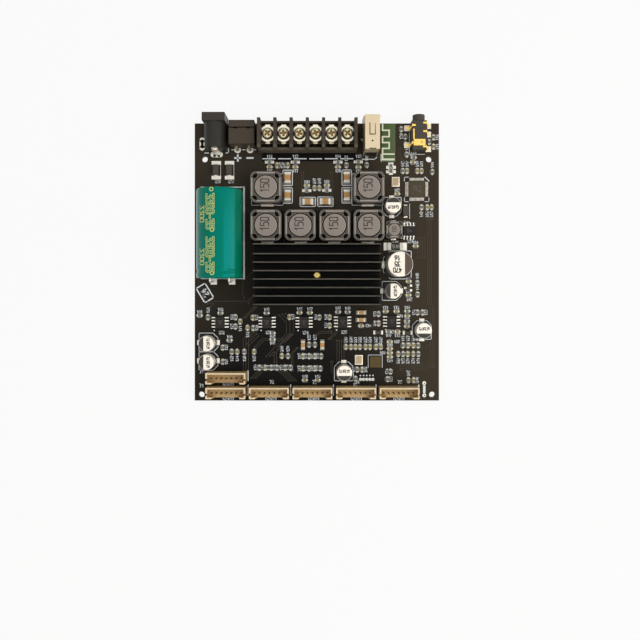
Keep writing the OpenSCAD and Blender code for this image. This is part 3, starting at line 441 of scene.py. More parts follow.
@dataclass(frozen=True)
class MaskFinish(Finish):
    """Solder mask that warms to the right and darkens at the front, with laminate at the cut edges."""

    edge: Colour = (120, 104, 70)
    edge_mottle: float = 0.2
    weave_mm: float = 0.4
    weave_stretch: Triple = (1, 1, 6)
    level: float = 0.5
    warm: Colour = (60, 51, 39)
    warm_share: float = 0.8
    dusk: Colour = (11, 9, 7)
    dusk_place: float = 0.38
    dusk_reach: float = 0.52
    dusk_share: float = 1.3

    def tint(self, graph: Graph, grain: Wire) -> Wire:
        """Mask colour, and laminate where the surface is upright.

        Args:
            graph: Tree of the material.
            grain: Noise of the finish.

        Returns:
            The colour socket.
        """
        mask = super().tint(graph, grain)
        right = (graph.place(0) / (2 * BOARD.half.x * MM) + 0.5).clamped()
        front = (0.5 - (graph.place(1) - BOARD.origin.y) / (2 * BOARD.half.y * MM)).clamped()
        mask = graph.blend(right * right * self.warm_share, mask, linear(self.warm))
        aside = (right - self.dusk_place) / self.dusk_reach
        shade = (1 - aside * aside).clamped() * front * self.dusk_share
        mask = graph.blend(shade.clamped(), mask, linear(self.dusk))
        flat = graph.upward() * graph.upward() > self.level
        threads = graph.noise(self.weave_mm, self.weave_stretch)
        dark, light = linear(self.edge, 1 - self.edge_mottle), linear(self.edge, 1 + self.edge_mottle)
        return graph.blend(flat, graph.blend(threads, dark, light), mask)


@dataclass(frozen=True)
class LayerFinish(Finish):
    """A finish with painted shading: below a place along one axis it turns to a second colour, which is
    painted shade on the screws, washers, barrel and headers and painted light on the terminal block's front.
    """

    deep: Colour = (60, 40, 20)
    deep_mottle: float = 0.1
    deep_below_mm: float = 0.0
    blend_mm: float = 0.2
    axis: int = 2

    def tint(self, graph: Graph, grain: Wire) -> Wire:
        """Own colour above, the colour of the painted shading below.

        Args:
            graph: Tree of the material.
            grain: Noise of the finish.

        Returns:
            The colour socket.
        """
        above = super().tint(graph, grain)
        start = BOARD.origin[self.axis] + self.deep_below_mm * MM
        share = ((graph.place(self.axis) - start) / (self.blend_mm * MM)).clamped()
        dark, light = linear(self.deep, 1 - self.deep_mottle), linear(self.deep, 1 + self.deep_mottle)
        return graph.blend(share, graph.blend(grain, dark, light), above)


@dataclass(frozen=True)
class WornFinish(Finish):
    """A coating that turns lighter, in streaks, above a height."""

    worn: Colour = (110, 106, 100)
    worn_z_mm: float = 0.0
    worn_share: float = 0.8
    rub_mm: float = 0.9
    rub_stretch: Triple = (0.2, 1, 1)
    rub_least: float = 0.3

    def tint(self, graph: Graph, grain: Wire) -> Wire:
        """Coating colour, lighter on the tips.

        Args:
            graph: Tree of the material.
            grain: Noise of the finish.

        Returns:
            The colour socket.
        """
        coated = super().tint(graph, grain)
        tips = graph.place(2) > BOARD.origin.z + self.worn_z_mm * MM
        streaks = (graph.noise(self.rub_mm, self.rub_stretch) + self.rub_least).clamped()
        return graph.blend(tips * streaks * self.worn_share, coated, linear(self.worn))


@dataclass(frozen=True)
class SpeckleFinish(Finish):
    """A body with fine lighter specks."""

    speck: Colour = (160, 150, 142)
    speck_grain_mm: float = 0.12
    speck_level: float = 0.56
    speck_contrast: float = 7.0
    speck_share: float = 0.55

    def tint(self, graph: Graph, grain: Wire) -> Wire:
        """Body colour with lighter specks.

        Args:
            graph: Tree of the material.
            grain: Noise of the finish.

        Returns:
            The colour socket.
        """
        body = super().tint(graph, grain)
        specks = ((graph.noise(self.speck_grain_mm) - self.speck_level) * self.speck_contrast).clamped()
        return graph.blend(specks * self.speck_share, body, linear(self.speck))


@dataclass(frozen=True)
class RimFinish(SpeckleFinish):
    """A grained body with a painted highlight on its eased edges, where the surface slants."""

    rim: Colour = (170, 162, 155)
    rim_share: float = 0.7
    steep: float = 0.12
    level: float = 0.985

    def tint(self, graph: Graph, grain: Wire) -> Wire:
        """Grained colour, with a painted highlight where the surface slants.

        Args:
            graph: Tree of the material.
            grain: Noise of the finish.

        Returns:
            The colour socket.
        """
        body = super().tint(graph, grain)
        up = graph.upward()
        slant = (up > self.steep) * (1 - (up > self.level))
        return graph.blend(slant * self.rim_share, body, linear(self.rim))


@dataclass(frozen=True)
class FieldFinish(Finish):
    """Green laminate that pales along x."""

    pale: Colour = (112, 128, 84)
    from_x_mm: float = 0.0
    to_x_mm: float = 1.0
    weave_mm: float = 0.35
    weave_stretch: Triple = (1, 4, 1)

    def tint(self, graph: Graph, grain: Wire) -> Wire:
        """Own colour at one end, the pale colour at the other.

        Args:
            graph: Tree of the material.
            grain: Noise of the finish.

        Returns:
            The colour socket.
        """
        body = super().tint(graph, grain)
        start = BOARD.origin.x + self.from_x_mm * MM
        width = (self.to_x_mm - self.from_x_mm) * MM
        along = ((graph.place(0) - start) / width).clamped()
        weave = graph.noise(self.weave_mm, self.weave_stretch)
        return graph.blend(along * weave, body, linear(self.pale))


MASK = MaskFinish(
    "solder mask", "board_mask", (57, 50, 39), mottle=0.12, grain_mm=9.0, relief_mm=0.006,
    relief_grain_mm=0.5, gloss=0.08,
)
TRACE = Finish(
    "mask over copper", "board_mask", (74, 67, 57), mottle=0.1, grain_mm=3.0, relief_mm=0.004, gloss=0.1,
)
# Mask without copper, also used as painted shadow in the strip in front of the terminal block
BARE_AND_SHADOW = Finish(
    "mask over laminate and painted shadow", "board_mask", (16, 14, 11), mottle=0.2, grain_mm=4.0, relief_mm=0.004, gloss=0.05,
)
LEGEND = Finish("legend ink", "legend_ink", (228, 234, 236), rough=0.6, grain_mm=0.5)
SOLDER = Finish(
    "solder", "solder", (196, 194, 180), rough=0.34, metal=0.3, mottle=0.16, grain_mm=0.7, relief_mm=0.02,
    relief_grain_mm=0.5,
)
PAD = Finish(
    "tinned pad", "solder", (240, 236, 224), rough=0.45, metal=0.2, grain_mm=0.8, relief_mm=0.02,
    relief_grain_mm=0.5,
)
LEAD = Finish(
    "tinned lead", "tinned_lead", (242, 237, 226), rough=0.34, metal=0.45, mottle=0.1, grain_mm=0.5,
)
# Painted shade: the power posts are coloured darker than tinned metal
SHADED_POST = Finish("power post in painted shade", "tinned_lead", (150, 132, 108), rough=0.4, metal=0.5, mottle=0.12, grain_mm=0.5)
FOIL = Finish("antenna copper", "copper_foil", (214, 217, 190), metal=0.15, mottle=0.06, grain_mm=1.0)
FIELD = FieldFinish(
    "antenna field", "board_mask", (60, 79, 44), mottle=0.14, grain_mm=2.5, gloss=0.2, from_x_mm=26.0,
    to_x_mm=33.0,
)
ANODISED = WornFinish(
    "black anodised", "anodised_black", (11, 10, 9), rough=0.6, mottle=0.2, grain_mm=2.0,
    stretch=(0.15, 1, 1), gloss=0.08, worn=(108, 103, 95), worn_z_mm=11.35,
)
BRASS = Finish(
    "screw brass", "screw_brass", (210, 186, 110), rough=0.3, metal=0.7, mottle=0.14, grain_mm=0.8,
)
# Painted shade: darker brown below the head's top, in the cross recess and on the head's side
CLAMP_SCREW = LayerFinish(
    "clamp screw plate", "screw_brass", (244, 226, 184), rough=0.3, metal=0.4, mottle=0.2, grain_mm=0.7,
    deep=(124, 94, 46), deep_below_mm=7.5,
)
# Painted shadow: near black in the washer's dish round the screw head and on the washer's sides
WASHER = LayerFinish(
    "clamp washer plate", "nickel_plate", (255, 246, 222), rough=0.3, metal=0.4, mottle=0.1, grain_mm=1.0,
    deep=(40, 28, 14), deep_below_mm=6.62, blend_mm=0.1,
)
NICKEL = Finish("nickel plate", "nickel_plate", (244, 228, 196), rough=0.28, metal=0.65, grain_mm=1.0)
RUBBER_PAD = Finish("thermal pad", "thermal_pad", (150, 152, 158), rough=0.8, grain_mm=0.8)
MOULDED = Finish(
    "moulded plastic", "connector_black", (74, 65, 55), mottle=0.07, grain_mm=1.6, relief_mm=0.02,
    relief_grain_mm=0.2, gloss=0.12,
)
# Painted shade: the barrel in front of the flange is darker than the flange
BARREL = LayerFinish(
    "barrel plastic", "connector_black", (58, 51, 45), rough=0.4, mottle=0.07, grain_mm=1.6,
    relief_mm=0.012, relief_grain_mm=0.2, gloss=0.18, deep=(45, 42, 37), deep_below_mm=54.4, blend_mm=0.6,
    axis=1,
)
# Painted light: the block's front wall, in front of y 45.2 mm, is lighter
BLOCK_PLASTIC = LayerFinish(
    "terminal block plastic", "connector_black", (74, 65, 55), mottle=0.07, grain_mm=1.6, relief_mm=0.02,
    relief_grain_mm=0.2, gloss=0.12, deep=(98, 88, 75), deep_below_mm=45.2, blend_mm=0.6, axis=1,
)
# Painted shade for the floor of the groove in the power header's roof
GROOVE = Finish(
    "groove shade", "connector_black", (16, 14, 12), rough=0.7, mottle=0.2, grain_mm=0.6, gloss=0.05,
)
JACK_PLASTIC = Finish(
    "audio jack plastic", "connector_black", (72, 67, 59), mottle=0.07, grain_mm=1.2, relief_mm=0.02,
    relief_grain_mm=0.2, gloss=0.2,
)
PACKAGE = Finish(
    "chip package", "chip_black", (42, 37, 34), rough=0.55, mottle=0.12, grain_mm=0.6, relief_mm=0.015,
    relief_grain_mm=0.12, gloss=0.15,
)
DIODE_PACKAGE = Finish(
    "diode package", "chip_black", (80, 73, 63), rough=0.55, mottle=0.1, grain_mm=0.8, relief_mm=0.015,
    relief_grain_mm=0.12, gloss=0.15,
)
RADIO_PACKAGE = Finish(
    "radio package", "chip_black", (76, 67, 50), rough=0.55, mottle=0.12, grain_mm=0.6, relief_mm=0.015,
    relief_grain_mm=0.12, gloss=0.15,
)
BASE_PLASTIC = Finish("capacitor base", "chip_black", (20, 18, 17), mottle=0.12, grain_mm=0.8, gloss=0.3)
SHELL = Finish(
    "tinned shell", "tinned_shell", (216, 197, 163), rough=0.36, metal=0.3, mottle=0.05, grain_mm=2.5,
    stretch=(1, 0.2, 1),
)
GOLD = Finish(
    "gold contact", "gold_contact", (232, 198, 104), rough=0.28, metal=0.6, mottle=0.14, grain_mm=0.8,
)
SLEEVE = Finish(
    "printed sleeve", "sleeve_green", (0, 116, 88), rough=0.2, mottle=0.06, grain_mm=3.0, relief_mm=0.03,
    relief_grain_mm=2.5, stretch=(1, 0.25, 1), gloss_tint=(60, 225, 255),
)
SEAL = Finish("rubber seal", "seal_rubber", (40, 38, 36), rough=0.75, grain_mm=0.8)
# Painted highlight on the shield's eased edges, in the rim colour
FERRITE = RimFinish(
    "ferrite shield", "ferrite", (80, 74, 66), mottle=0.14, grain_mm=0.9, relief_mm=0.03,
    relief_grain_mm=0.16, speck=(100, 94, 86), gloss=0.2, rim=(176, 168, 158),
)
# Painted highlight: a pale ring along the rim of each shield top
FERRITE_RIM_HIGHLIGHT = SpeckleFinish(
    "ferrite rim highlight", "ferrite", (164, 156, 146), mottle=0.16, grain_mm=0.9, relief_mm=0.03,
    relief_grain_mm=0.16, speck=(178, 170, 160), gloss=0.2,
)
# Painted shade: near black bars in the inductors' corner pockets
POCKET_SHADE = Finish("pocket floor", "ferrite", (15, 13, 11), rough=0.8, mottle=0.2, grain_mm=0.5, gloss=0.05)
# Painted highlight on the core's eased edges, in the rim colour
CORE = RimFinish(
    "ferrite core", "ferrite", (148, 138, 129), rough=0.6, mottle=0.1, grain_mm=0.8, relief_mm=0.03,
    relief_grain_mm=0.14, speck=(164, 155, 146), gloss=0.2, rim=(170, 161, 151),
)
WIRE_ENAMEL = Finish("enamelled wire", "copper_wire", (120, 62, 30), rough=0.35, metal=0.8, grain_mm=0.4)
CLIP = Finish(
    "inductor clip", "tinned_lead", (252, 232, 216), rough=0.42, metal=0.15, mottle=0.1, grain_mm=0.8,
)
CAN = Finish(
    "drawn aluminium", "can_aluminium", (242, 234, 219), rough=0.36, metal=0.3, mottle=0.04, grain_mm=1.4,
)
# Painted shade: dark lines for the pressed vent cross on the reservoir's end
VENT_SHADE = Finish(
    "pressed vent painted shade", "can_aluminium", (126, 122, 114), rough=0.45, metal=0.3, mottle=0.1, grain_mm=0.6,
)
# Painted shade: the nylon turns darker and deeper towards the board, inside the headers too
HEADER = LayerFinish(
    "cream nylon", "header_cream", (240, 219, 181), mottle=0.05, grain_mm=1.4, relief_mm=0.015, gloss=0.3,
    deep=(194, 163, 112), deep_below_mm=4.4, blend_mm=1.4,
)
# Painted shade: the header pins are coloured dark brown
SHADED_HEADER_PIN = Finish(
    "header pin in painted shade", "tinned_lead", (122, 88, 50), rough=0.35, metal=0.5, mottle=0.2, grain_mm=0.4,
)
BROWN_PACKAGE = Finish(
    "leadless package", "control_brown", (90, 73, 42), rough=0.45, mottle=0.12, grain_mm=0.5, gloss=0.15,
)
LID = Finish("crystal can", "crystal_lid", (224, 214, 194), rough=0.34, metal=0.5, grain_mm=0.8)
LID_TOP = Finish(
    "crystal lid", "crystal_lid", (170, 148, 114), rough=0.4, metal=0.3, mottle=0.1, grain_mm=0.8,
)
FILLET = Finish(
    "shaded solder", "solder", (132, 126, 113), rough=0.4, metal=0.3, mottle=0.22, grain_mm=0.5,
    relief_mm=0.02, relief_grain_mm=0.4,
)
RESISTOR = Finish("resistor glaze", "resistor_body", (104, 103, 92), rough=0.4, mottle=0.15, grain_mm=0.5)
CHIP_CERAMIC = Finish("small ceramic", "capacitor_body", (142, 126, 76), mottle=0.12, grain_mm=0.4)
CERAMIC = Finish("large ceramic", "ceramic_brown", (190, 140, 74), mottle=0.12, grain_mm=0.5)
DARK_INK = Finish("dark marking", "marking_ink", (58, 51, 47), rough=0.7, mottle=0.1, grain_mm=0.4)
BLACK_INK = Finish("black marking", "marking_ink", (32, 26, 23), rough=0.6, mottle=0.15, grain_mm=0.6)
BROWN_INK = Finish("brown marking", "marking_ink", (84, 66, 56), rough=0.6, mottle=0.15, grain_mm=0.6)
SLEEVE_INK = Finish("sleeve print", "sleeve_ink", (204, 212, 118), rough=0.4, grain_mm=0.8)
GREY_INK = Finish("package marking", "marking_ink", (104, 98, 90), rough=0.7, mottle=0.1, grain_mm=0.4)
PALE_INK = Finish("pale marking", "marking_ink", (186, 182, 174), rough=0.7, mottle=0.1, grain_mm=0.4)

# Digits as strokes on a grid two wide and four high
STROKES: dict[str, tuple[tuple[Point, ...], ...]] = {
    "0": (((0, 0.5), (0, 3.5), (0.5, 4), (1.5, 4), (2, 3.5), (2, 0.5), (1.5, 0), (0.5, 0), (0, 0.5)),),
    "1": (((0.4, 3.2), (1.2, 4), (1.2, 0)),),
    "2": (((0, 3.4), (0.6, 4), (1.5, 4), (2, 3.4), (2, 2.6), (0, 0), (2, 0)),),
    "3": (((0, 4), (2, 4), (0.9, 2.4), (2, 1.6), (2, 0.6), (1.4, 0), (0, 0)),),
    "4": (((1.5, 0), (1.5, 4), (0, 1.2), (2, 1.2)),),
    "5": (((2, 4), (0, 4), (0, 2.3), (1.4, 2.5), (2, 1.9), (2, 0.6), (1.4, 0), (0, 0)),),
    "6": (((1.7, 4), (0, 2), (0, 0.5), (0.5, 0), (1.5, 0), (2, 0.5), (2, 1.6), (1.5, 2.1), (0, 1.8)),),
    "7": (((0, 4), (2, 4), (0.7, 0)),),
    "8": (((0, 0), (0, 4), (2, 4), (2, 0), (0, 0)), ((0, 2), (2, 2))),
    "9": (((2, 2.2), (0.5, 1.9), (0, 2.4), (0, 3.5), (0.5, 4), (1.5, 4), (2, 3.5), (2, 2), (0.4, 0)),),
    "+": (((0, 2), (2, 2)), ((1, 1), (1, 3))),
    "-": (((0, 2), (2, 2)),),
}
GLYPH_W, GLYPH_H, GLYPH_STEP = 2.0, 4.0, 2.9


class Shape:
    """A bmesh in board millimetres that becomes one finished piece."""

    def __init__(self) -> None:
        """Start empty."""
        self.bm = bmesh.new()

    def box(self, size: Sequence[float], at: Sequence[float], turn: float = 0.0) -> None:
        """Box standing on a place.

        Args:
            size: Edge lengths.
            at: Middle of its underside.
            turn: Turn about z, in degrees.
        """
        matrix = (
            Matrix.Translation((at[0], at[1], at[2] + size[2] / 2))
            @ Matrix.Rotation(math.radians(turn), 4, "Z")
            @ Matrix.Diagonal((size[0], size[1], size[2], 1))
        )
        bmesh.ops.create_cube(self.bm, size=1.0, matrix=matrix)

    def plate(self, size: Point, at: Point, height: float, z: float = 0.0) -> None:
        """Flat box whose underside is at a height."""
        self.box((*size, height), (*at, z))

    def bar(self, start: Point, end: Point, width: float, z: float, height: float) -> None:
        """Straight stroke with square ends that reach half a width further.

        Args:
            start: First end.
            end: Other end.
            width: Width of the stroke.
            z: Height of its underside.
            height: Thickness.
        """
        along = Vector(end) - Vector(start)
        middle = (Vector(start) + Vector(end)) / 2
        turn = math.degrees(math.atan2(along.y, along.x))
        self.box((along.length + width, width, height), (middle.x, middle.y, z), turn)

    def path(
        self, points: Sequence[Point], width: float, z: float, height: float, closed: bool = False
    ) -> None:
        """Stroke through several points.

        Args:
            points: Corners in order.
            width: Width of the stroke.
            z: Height of its underside.
            height: Thickness.
            closed: Whether the last point joins the first.
        """
        ends = list(points[1:]) + ([points[0]] if closed else [])
        for start, end in zip(points, ends):
            self.bar(start, end, width, z, height)

    def frame(self, centre: Point, size: Point, width: float, z: float, height: float) -> None:
        """Rectangle of strokes.

        Args:
            centre: Its middle.
            size: Width and depth between stroke middles.
            width: Width of the stroke.
            z: Height of its underside.
            height: Thickness.
        """
        x, y = size[0] / 2, size[1] / 2
        corners = [(centre[0] + sx * x, centre[1] + sy * y) for sx, sy in CORNERS]
        self.path(corners, width, z, height, closed=True)

    def digits(
        self, text: str, at: Point, tall: float, turn: float, z: float, height: float, bold: float,
        narrow: float = 1.0,
    ) -> None:
        """Row of digits centred on a place.

        Args:
            text: Digits and signs.
            at: Middle of the row.
            tall: Height of a digit.
            turn: Turn of the row about z, in degrees.
            z: Height of the underside.
            height: Thickness of the strokes.
            bold: Stroke width as a share of the digit height.
            narrow: Factor on the width.
        """
        unit = tall / GLYPH_H
        length = (len(text) - 1) * GLYPH_STEP + GLYPH_W
        spin = Matrix.Rotation(math.radians(turn), 2)
        for place, glyph in enumerate(text):
            for stroke in STROKES.get(glyph, ()):
                points = []
                for x, y in stroke:
                    local = Vector((narrow * (x + place * GLYPH_STEP - length / 2), y - GLYPH_H / 2)) * unit
                    points.append(tuple(Vector(at) + spin @ local))
                self.path(points, tall * bold, z, height)

    def disc(
        self, radius: float, at: Sequence[float], height: float, segments: int = 24
    ) -> list[bmesh.types.BMVert]:
        """Round plate standing on a place.

        Args:
            radius: Its radius.
            at: Middle of the underside.
            height: Thickness.
            segments: Sides of the round.

        Returns:
            Its vertices.
        """
        made = bmesh.ops.create_cone(
            self.bm, cap_ends=True, segments=segments, radius1=radius, radius2=radius, depth=height,
            matrix=Matrix.Translation((at[0], at[1], at[2] + height / 2)),
        )
        return made["verts"]

    def ring(self, inner: float, outer: float, at: Sequence[float], height: float, steps: int = 24) -> None:
        """Flat ring, spun from its section.

        Args:
            inner: Inner radius.
            outer: Outer radius.
            at: Middle of the underside.
            height: Thickness.
            steps: Sides of the round.
        """
        section = bmesh.ops.create_grid(
            self.bm, x_segments=1, y_segments=1, size=0.5,
            matrix=Matrix.Translation((at[0] + (inner + outer) / 2, at[1], at[2] + height / 2))
            @ Matrix.Rotation(math.radians(90), 4, "X")
            @ Matrix.Diagonal((outer - inner, height, 1, 1)),
        )["verts"]
        face = section[0].link_faces[0]
        edges = list(face.edges)
        bmesh.ops.delete(self.bm, geom=[face], context="FACES_ONLY")
        bmesh.ops.spin(
            self.bm, geom=section + edges, cent=Vector(at), axis=(0, 0, 1), angle=math.tau, steps=steps,
            use_merge=True,
        )

    def pill(self, centre: Point, size: Point, height: float) -> None:
        """Flat plate with two round ends.

        Args:
            centre: Its middle.
            size: Width and depth over all.
            height: Thickness.
        """
        wide = size[0] > size[1]
        radius = min(size) / 2
        reach = max(size) / 2 - radius
        for side in (-1, 1):
            shift = Vector((side * reach, 0) if wide else (0, side * reach))
            self.disc(radius, (centre[0] + shift.x, centre[1] + shift.y, 0.0), height)
        flat = (2 * reach, size[1]) if wide else (size[0], 2 * reach)
        self.plate(flat, centre, height)

    def dome(self, size: Triple, at: Triple) -> None:
        """Half of a flattened ball lying on a place.

        Args:
            size: Length, width and height.
            at: Middle of its flat side.
        """
        matrix = Matrix.Translation(at) @ Matrix.Diagonal((size[0] / 2, size[1] / 2, size[2], 1))
        ball = bmesh.ops.create_uvsphere(self.bm, u_segments=DOME_SIDES, v_segments=DOME_RINGS, radius=1.0)
        made = ball["verts"]
        low = [v for v in made if v.co.z < DOME_FLOOR]
        bmesh.ops.delete(self.bm, geom=low, context="VERTS")
        kept = [v for v in made if v.is_valid]
        bmesh.ops.transform(self.bm, matrix=matrix, verts=kept)
        rim = [e for v in kept for e in v.link_edges if e.is_boundary]
        bmesh.ops.holes_fill(self.bm, edges=list(set(rim)), sides=0)

    def wrap_along_y(self, radius: float, centre: Point) -> None:
        """Bend a flat sheet round a cylinder that lies along y.

        The sheet's x is the arc from the crown, and its z the height above the cylinder.

        Args:
            radius: Radius of the cylinder.
            centre: Its axis, as x and z.
        """
        longest = radius * WRAP_SHARE
        long_edges = [e for e in self.bm.edges if abs(e.verts[0].co.x - e.verts[1].co.x) > longest]
        bmesh.ops.subdivide_edges(self.bm, edges=long_edges, cuts=WRAP_CUTS, use_grid_fill=True)
        for vert in self.bm.verts:
            angle = vert.co.x / radius
            reach = radius + vert.co.z
            vert.co.x = centre[0] + reach * math.sin(angle)
            vert.co.z = centre[1] + reach * math.cos(angle)

    def piece(self, name: str, finish: Finish, smooth: bool = False) -> None:
        """Make the finished piece, which rides on the board.

        Args:
            name: Name of the piece.
            finish: Its finish.
            smooth: Whether its faces shade as one surface.
        """
        bmesh.ops.recalc_face_normals(self.bm, faces=self.bm.faces)
        bmesh.ops.transform(self.bm, matrix=BOARD.to_metres, verts=self.bm.verts)
        settle(self.bm, name, finish, ROOT, (), smooth)


def settle(
    bm: bmesh.types.BMesh, name: str, finish: Finish, body: str, nodes: Sequence[str], smooth: bool
) -> bpy.types.Object:
    """Turn a bmesh in metres into a piece of the object.

    Args:
        bm: The mesh, freed here.
        name: Name of the piece.
        finish: Its finish.
        body: CAD body that it rides on.
        nodes: CAD nodes that it stands for.
        smooth: Whether its faces shade as one surface.

    Returns:
        The new object.
    """
    for face in bm.faces:
        face.smooth = smooth
    mesh = bpy.data.meshes.new(name)
    bm.to_mesh(mesh)
    faces = len(bm.faces)
    bm.free()
    mesh.materials.append(finish.material())
    piece = bpy.data.objects.new(name, mesh)
    bpy.context.scene.collection.objects.link(piece)
    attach(piece, body)
    if nodes:
        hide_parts(*nodes)
    LOG.info("%s: %d faces on %s", name, faces, body)
    return piece


def dress(node: str, finish: Finish) -> None:
    """Give a CAD node its finish.

    Args:
        node: Name of the CAD node.
        finish: Its finish.
    """
    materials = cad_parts[node].data.materials
    materials.clear()
    materials.append(finish.material())
    LOG.info("%s: dressed as %s", node, finish.name)


def ease(node: str, finish: Finish, radius_mm: float, segments: int = 2, body: str = ROOT) -> None:
    """Copy of a CAD node with its edges eased, standing for the node.

    Args:
        node: Name of the CAD node.
        finish: Finish of the copy.
        radius_mm: Width of the eased edge.
        segments: Steps across the edge.
        body: CAD body that it rides on.
    """
    bm = bmesh.new()
    bm.from_mesh(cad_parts[node].data)
    bmesh.ops.remove_doubles(bm, verts=bm.verts, dist=MERGE)
    bmesh.ops.dissolve_limit(
        bm, angle_limit=math.radians(FLAT_DEG), verts=bm.verts, edges=bm.edges, use_dissolve_boundaries=False
    )
    sharp = [e for e in bm.edges if e.is_manifold and e.calc_face_angle(0.0) > math.radians(EASED_DEG)]
    bmesh.ops.bevel(
        bm, geom=sharp, offset=radius_mm * MM, offset_type="OFFSET", segments=segments, profile=0.5,
        affect="EDGES", clamp_overlap=True, material=-1,
    )
    for edge in bm.edges:
        edge.smooth = not edge.is_manifold or edge.calc_face_angle(0.0) < math.radians(SHARP_DEG)
    piece = settle(bm, f"{node}_eased", finish, body, (node,), smooth=True)
    weighted = piece.modifiers.new("flat faces", "WEIGHTED_NORMAL")
    weighted.keep_sharp = True


class Assembly:
    """A sub-assembly that builds and dresses its own pieces."""

    def build(self) -> None:
        """Make every piece."""
        raise NotImplementedError


Route = tuple[tuple[Point, ...], int, Point]

# Bundles of traces: corners of the first one, how many, and the way to the next in trace steps
ROUTES: tuple[Route, ...] = (
    (((-25.4, -3.2), (-30.2, -8.0), (-30.2, -13.6), (-29.6, -14.6)), 1, (0, 0)),
    (((-44.6, -16.0), (-28.4, -16.0), (-25.4, -13.0)), 2, (0, -1)),
    (((-43.6, -18.4), (-41.6, -16.9), (-27.9, -16.9)), 1, (0, 0)),
    (((-25.6, -18.4), (-30.0, -22.8)), 2, (1, 0)),
    (((-26.8, -28.2), (-30.0, -31.4), (-30.0, -44.4)), 3, (1.1, 0)),
    (((-24.6, -29.4), (-28.6, -33.4)), 2, (0.8, -0.8)),
    (((-25.4, -34.6), (-22.0, -31.2), (-14.0, -31.2)), 2, (0.5, -0.8)),
    (((-15.6, -21.6), (-12.4, -24.8), (-12.4, -29.2), (-20.6, -38.6)), 3, (1.5, 0.3)),
    (((-10.8, -29.6), (-17.4, -36.2), (-17.4, -41.0)), 2, (1, 0)),
    (((-27.0, -47.4), (-23.4, -43.8)), 3, (1.1, 0)),
    (((-15.4, -44.6), (-11.6, -48.4)), 4, (1.1, 0)),
    (((-10.4, -44.4), (-10.4, -37.2), (-8.2, -35.0)), 2, (0.7, 0)),
    (((7.6, -20.0), (7.6, -28.6), (4.8, -31.4)), 2, (0.9, 0)),
    (((8.2, -32.0), (8.2, -42.0)), 4, (1, 0)),
    (((-0.8, -31.0), (1.2, -29.0), (6.0, -29.0)), 2, (0, 0.8)),
    (((10.4, -47.8), (6.4, -45.0), (6.4, -40.6)), 2, (-0.7, 0)),
    (((18.6, -31.2), (20.6, -33.2), (22.4, -33.2)), 2, (0, -0.6)),
    (((45.2, 17.6), (45.2, -17.0), (46.4, -18.2), (46.4, -43.0)), 3, (0.8, 0)),
    (((41.2, 10.0), (41.2, 1.8)), 4, (1, 0)),
    (((39.2, -35.0), (44.6, -35.0), (46.0, -33.6)), 1, (0, 0)),
    (((34.0, -41.6), (44.6, -41.6), (47.2, -39.0)), 4, (0, -0.9)),
    (((44.4, 20.0), (47.2, 17.2)), 2, (0.6, 0.6)),
    (((24.4, 36.6), (25.8, 35.2), (25.8, 27.0)), 1, (0, 0)),
    (((33.4, 46.4), (33.4, 42.8), (35.2, 41.0)), 2, (0.8, 0)),
    (((-46.4, 20.4), (-48.2, 18.6), (-48.2, -8.4)), 1, (0, 0)),
    (((-6.2, 36.6), (-6.2, 26.4)), 2, (0.9, 0)),
    (((6.4, 36.6), (6.4, 26.4)), 2, (-0.9, 0)),
)


@dataclass
class CircuitBoard(Assembly):
    """The board: mask, masked traces, vias, antenna field and solder below."""

    trace_w: float = 0.2
    trace_t: float = 0.016
    trace_step: float = 0.95
    via_r: float = 0.3
    via_bore: float = 0.45
    via_t: float = 0.02
    via_sides: int = 12
    bare_t: float = 0.008
    bare_margin: float = 0.4
    strip_d: float = 3.4
    strip_in: float = 1.0
    field_centre: Point = (29.25, 48.55)
    field_size: Point = (5.5, 15.6)
    field_t: float = 0.03

    def build(self) -> None:
        """Make every piece."""
        dress("circuit_board", MASK)
        dress("solder_joints", SOLDER)
        dress("antenna_trace", FOIL)
        laminate = Shape()
        laminate.plate(self.field_size, self.field_centre, self.field_t)
        laminate.piece("antenna_field", FIELD)
        self.route()
        # Dark strip in front of the terminal block: mask without copper, darkened as painted shadow of the
        # block; dark plates round the inductor shields
        bare = Shape()
        block = span("terminal_block")
        place = (block.centre.x + self.strip_in / 2, block.low.y - self.strip_d / 2)
        bare.plate((block.size.x - self.strip_in, self.strip_d), place, self.bare_t)
        for shield in islands("inductor_shields"):
            bare.plate(shield.grown(self.bare_margin), shield.spot, self.bare_t)
        bare.piece("bare_mask_and_block_shadow", BARE_AND_SHADOW)

    def route(self) -> None:
        """Lay the traces, each with a via at both ends."""
        traces, vias = Shape(), Shape()
        bore = self.via_r * self.via_bore
        for points, count, step in ROUTES:
            for index in range(count):
                shift = Vector(step) * self.trace_step * index
                line = [(x + shift.x, y + shift.y) for x, y in points]
                traces.path(line, self.trace_w, 0.0, self.trace_t)
                for end in (line[0], line[-1]):
                    vias.ring(bore, self.via_r, (*end, 0.0), self.via_t, self.via_sides)
        traces.piece("masked_traces", TRACE)
        vias.piece("vias", TRACE)


@dataclass
class Heatsink(Assembly):
    """Finned heatsink, its screw, the two chips under it and their pads."""

    edge: float = 0.12
    screw_edge: float = 0.08

    def build(self) -> None:
        """Make every piece."""
        ease("heatsink", ANODISED, self.edge)
        ease("heatsink_screw", BRASS, self.screw_edge)
        dress("thermal_pads", RUBBER_PAD)
        dress("amplifier_chips", PACKAGE)
        dress("amplifier_chip_leads", LEAD)


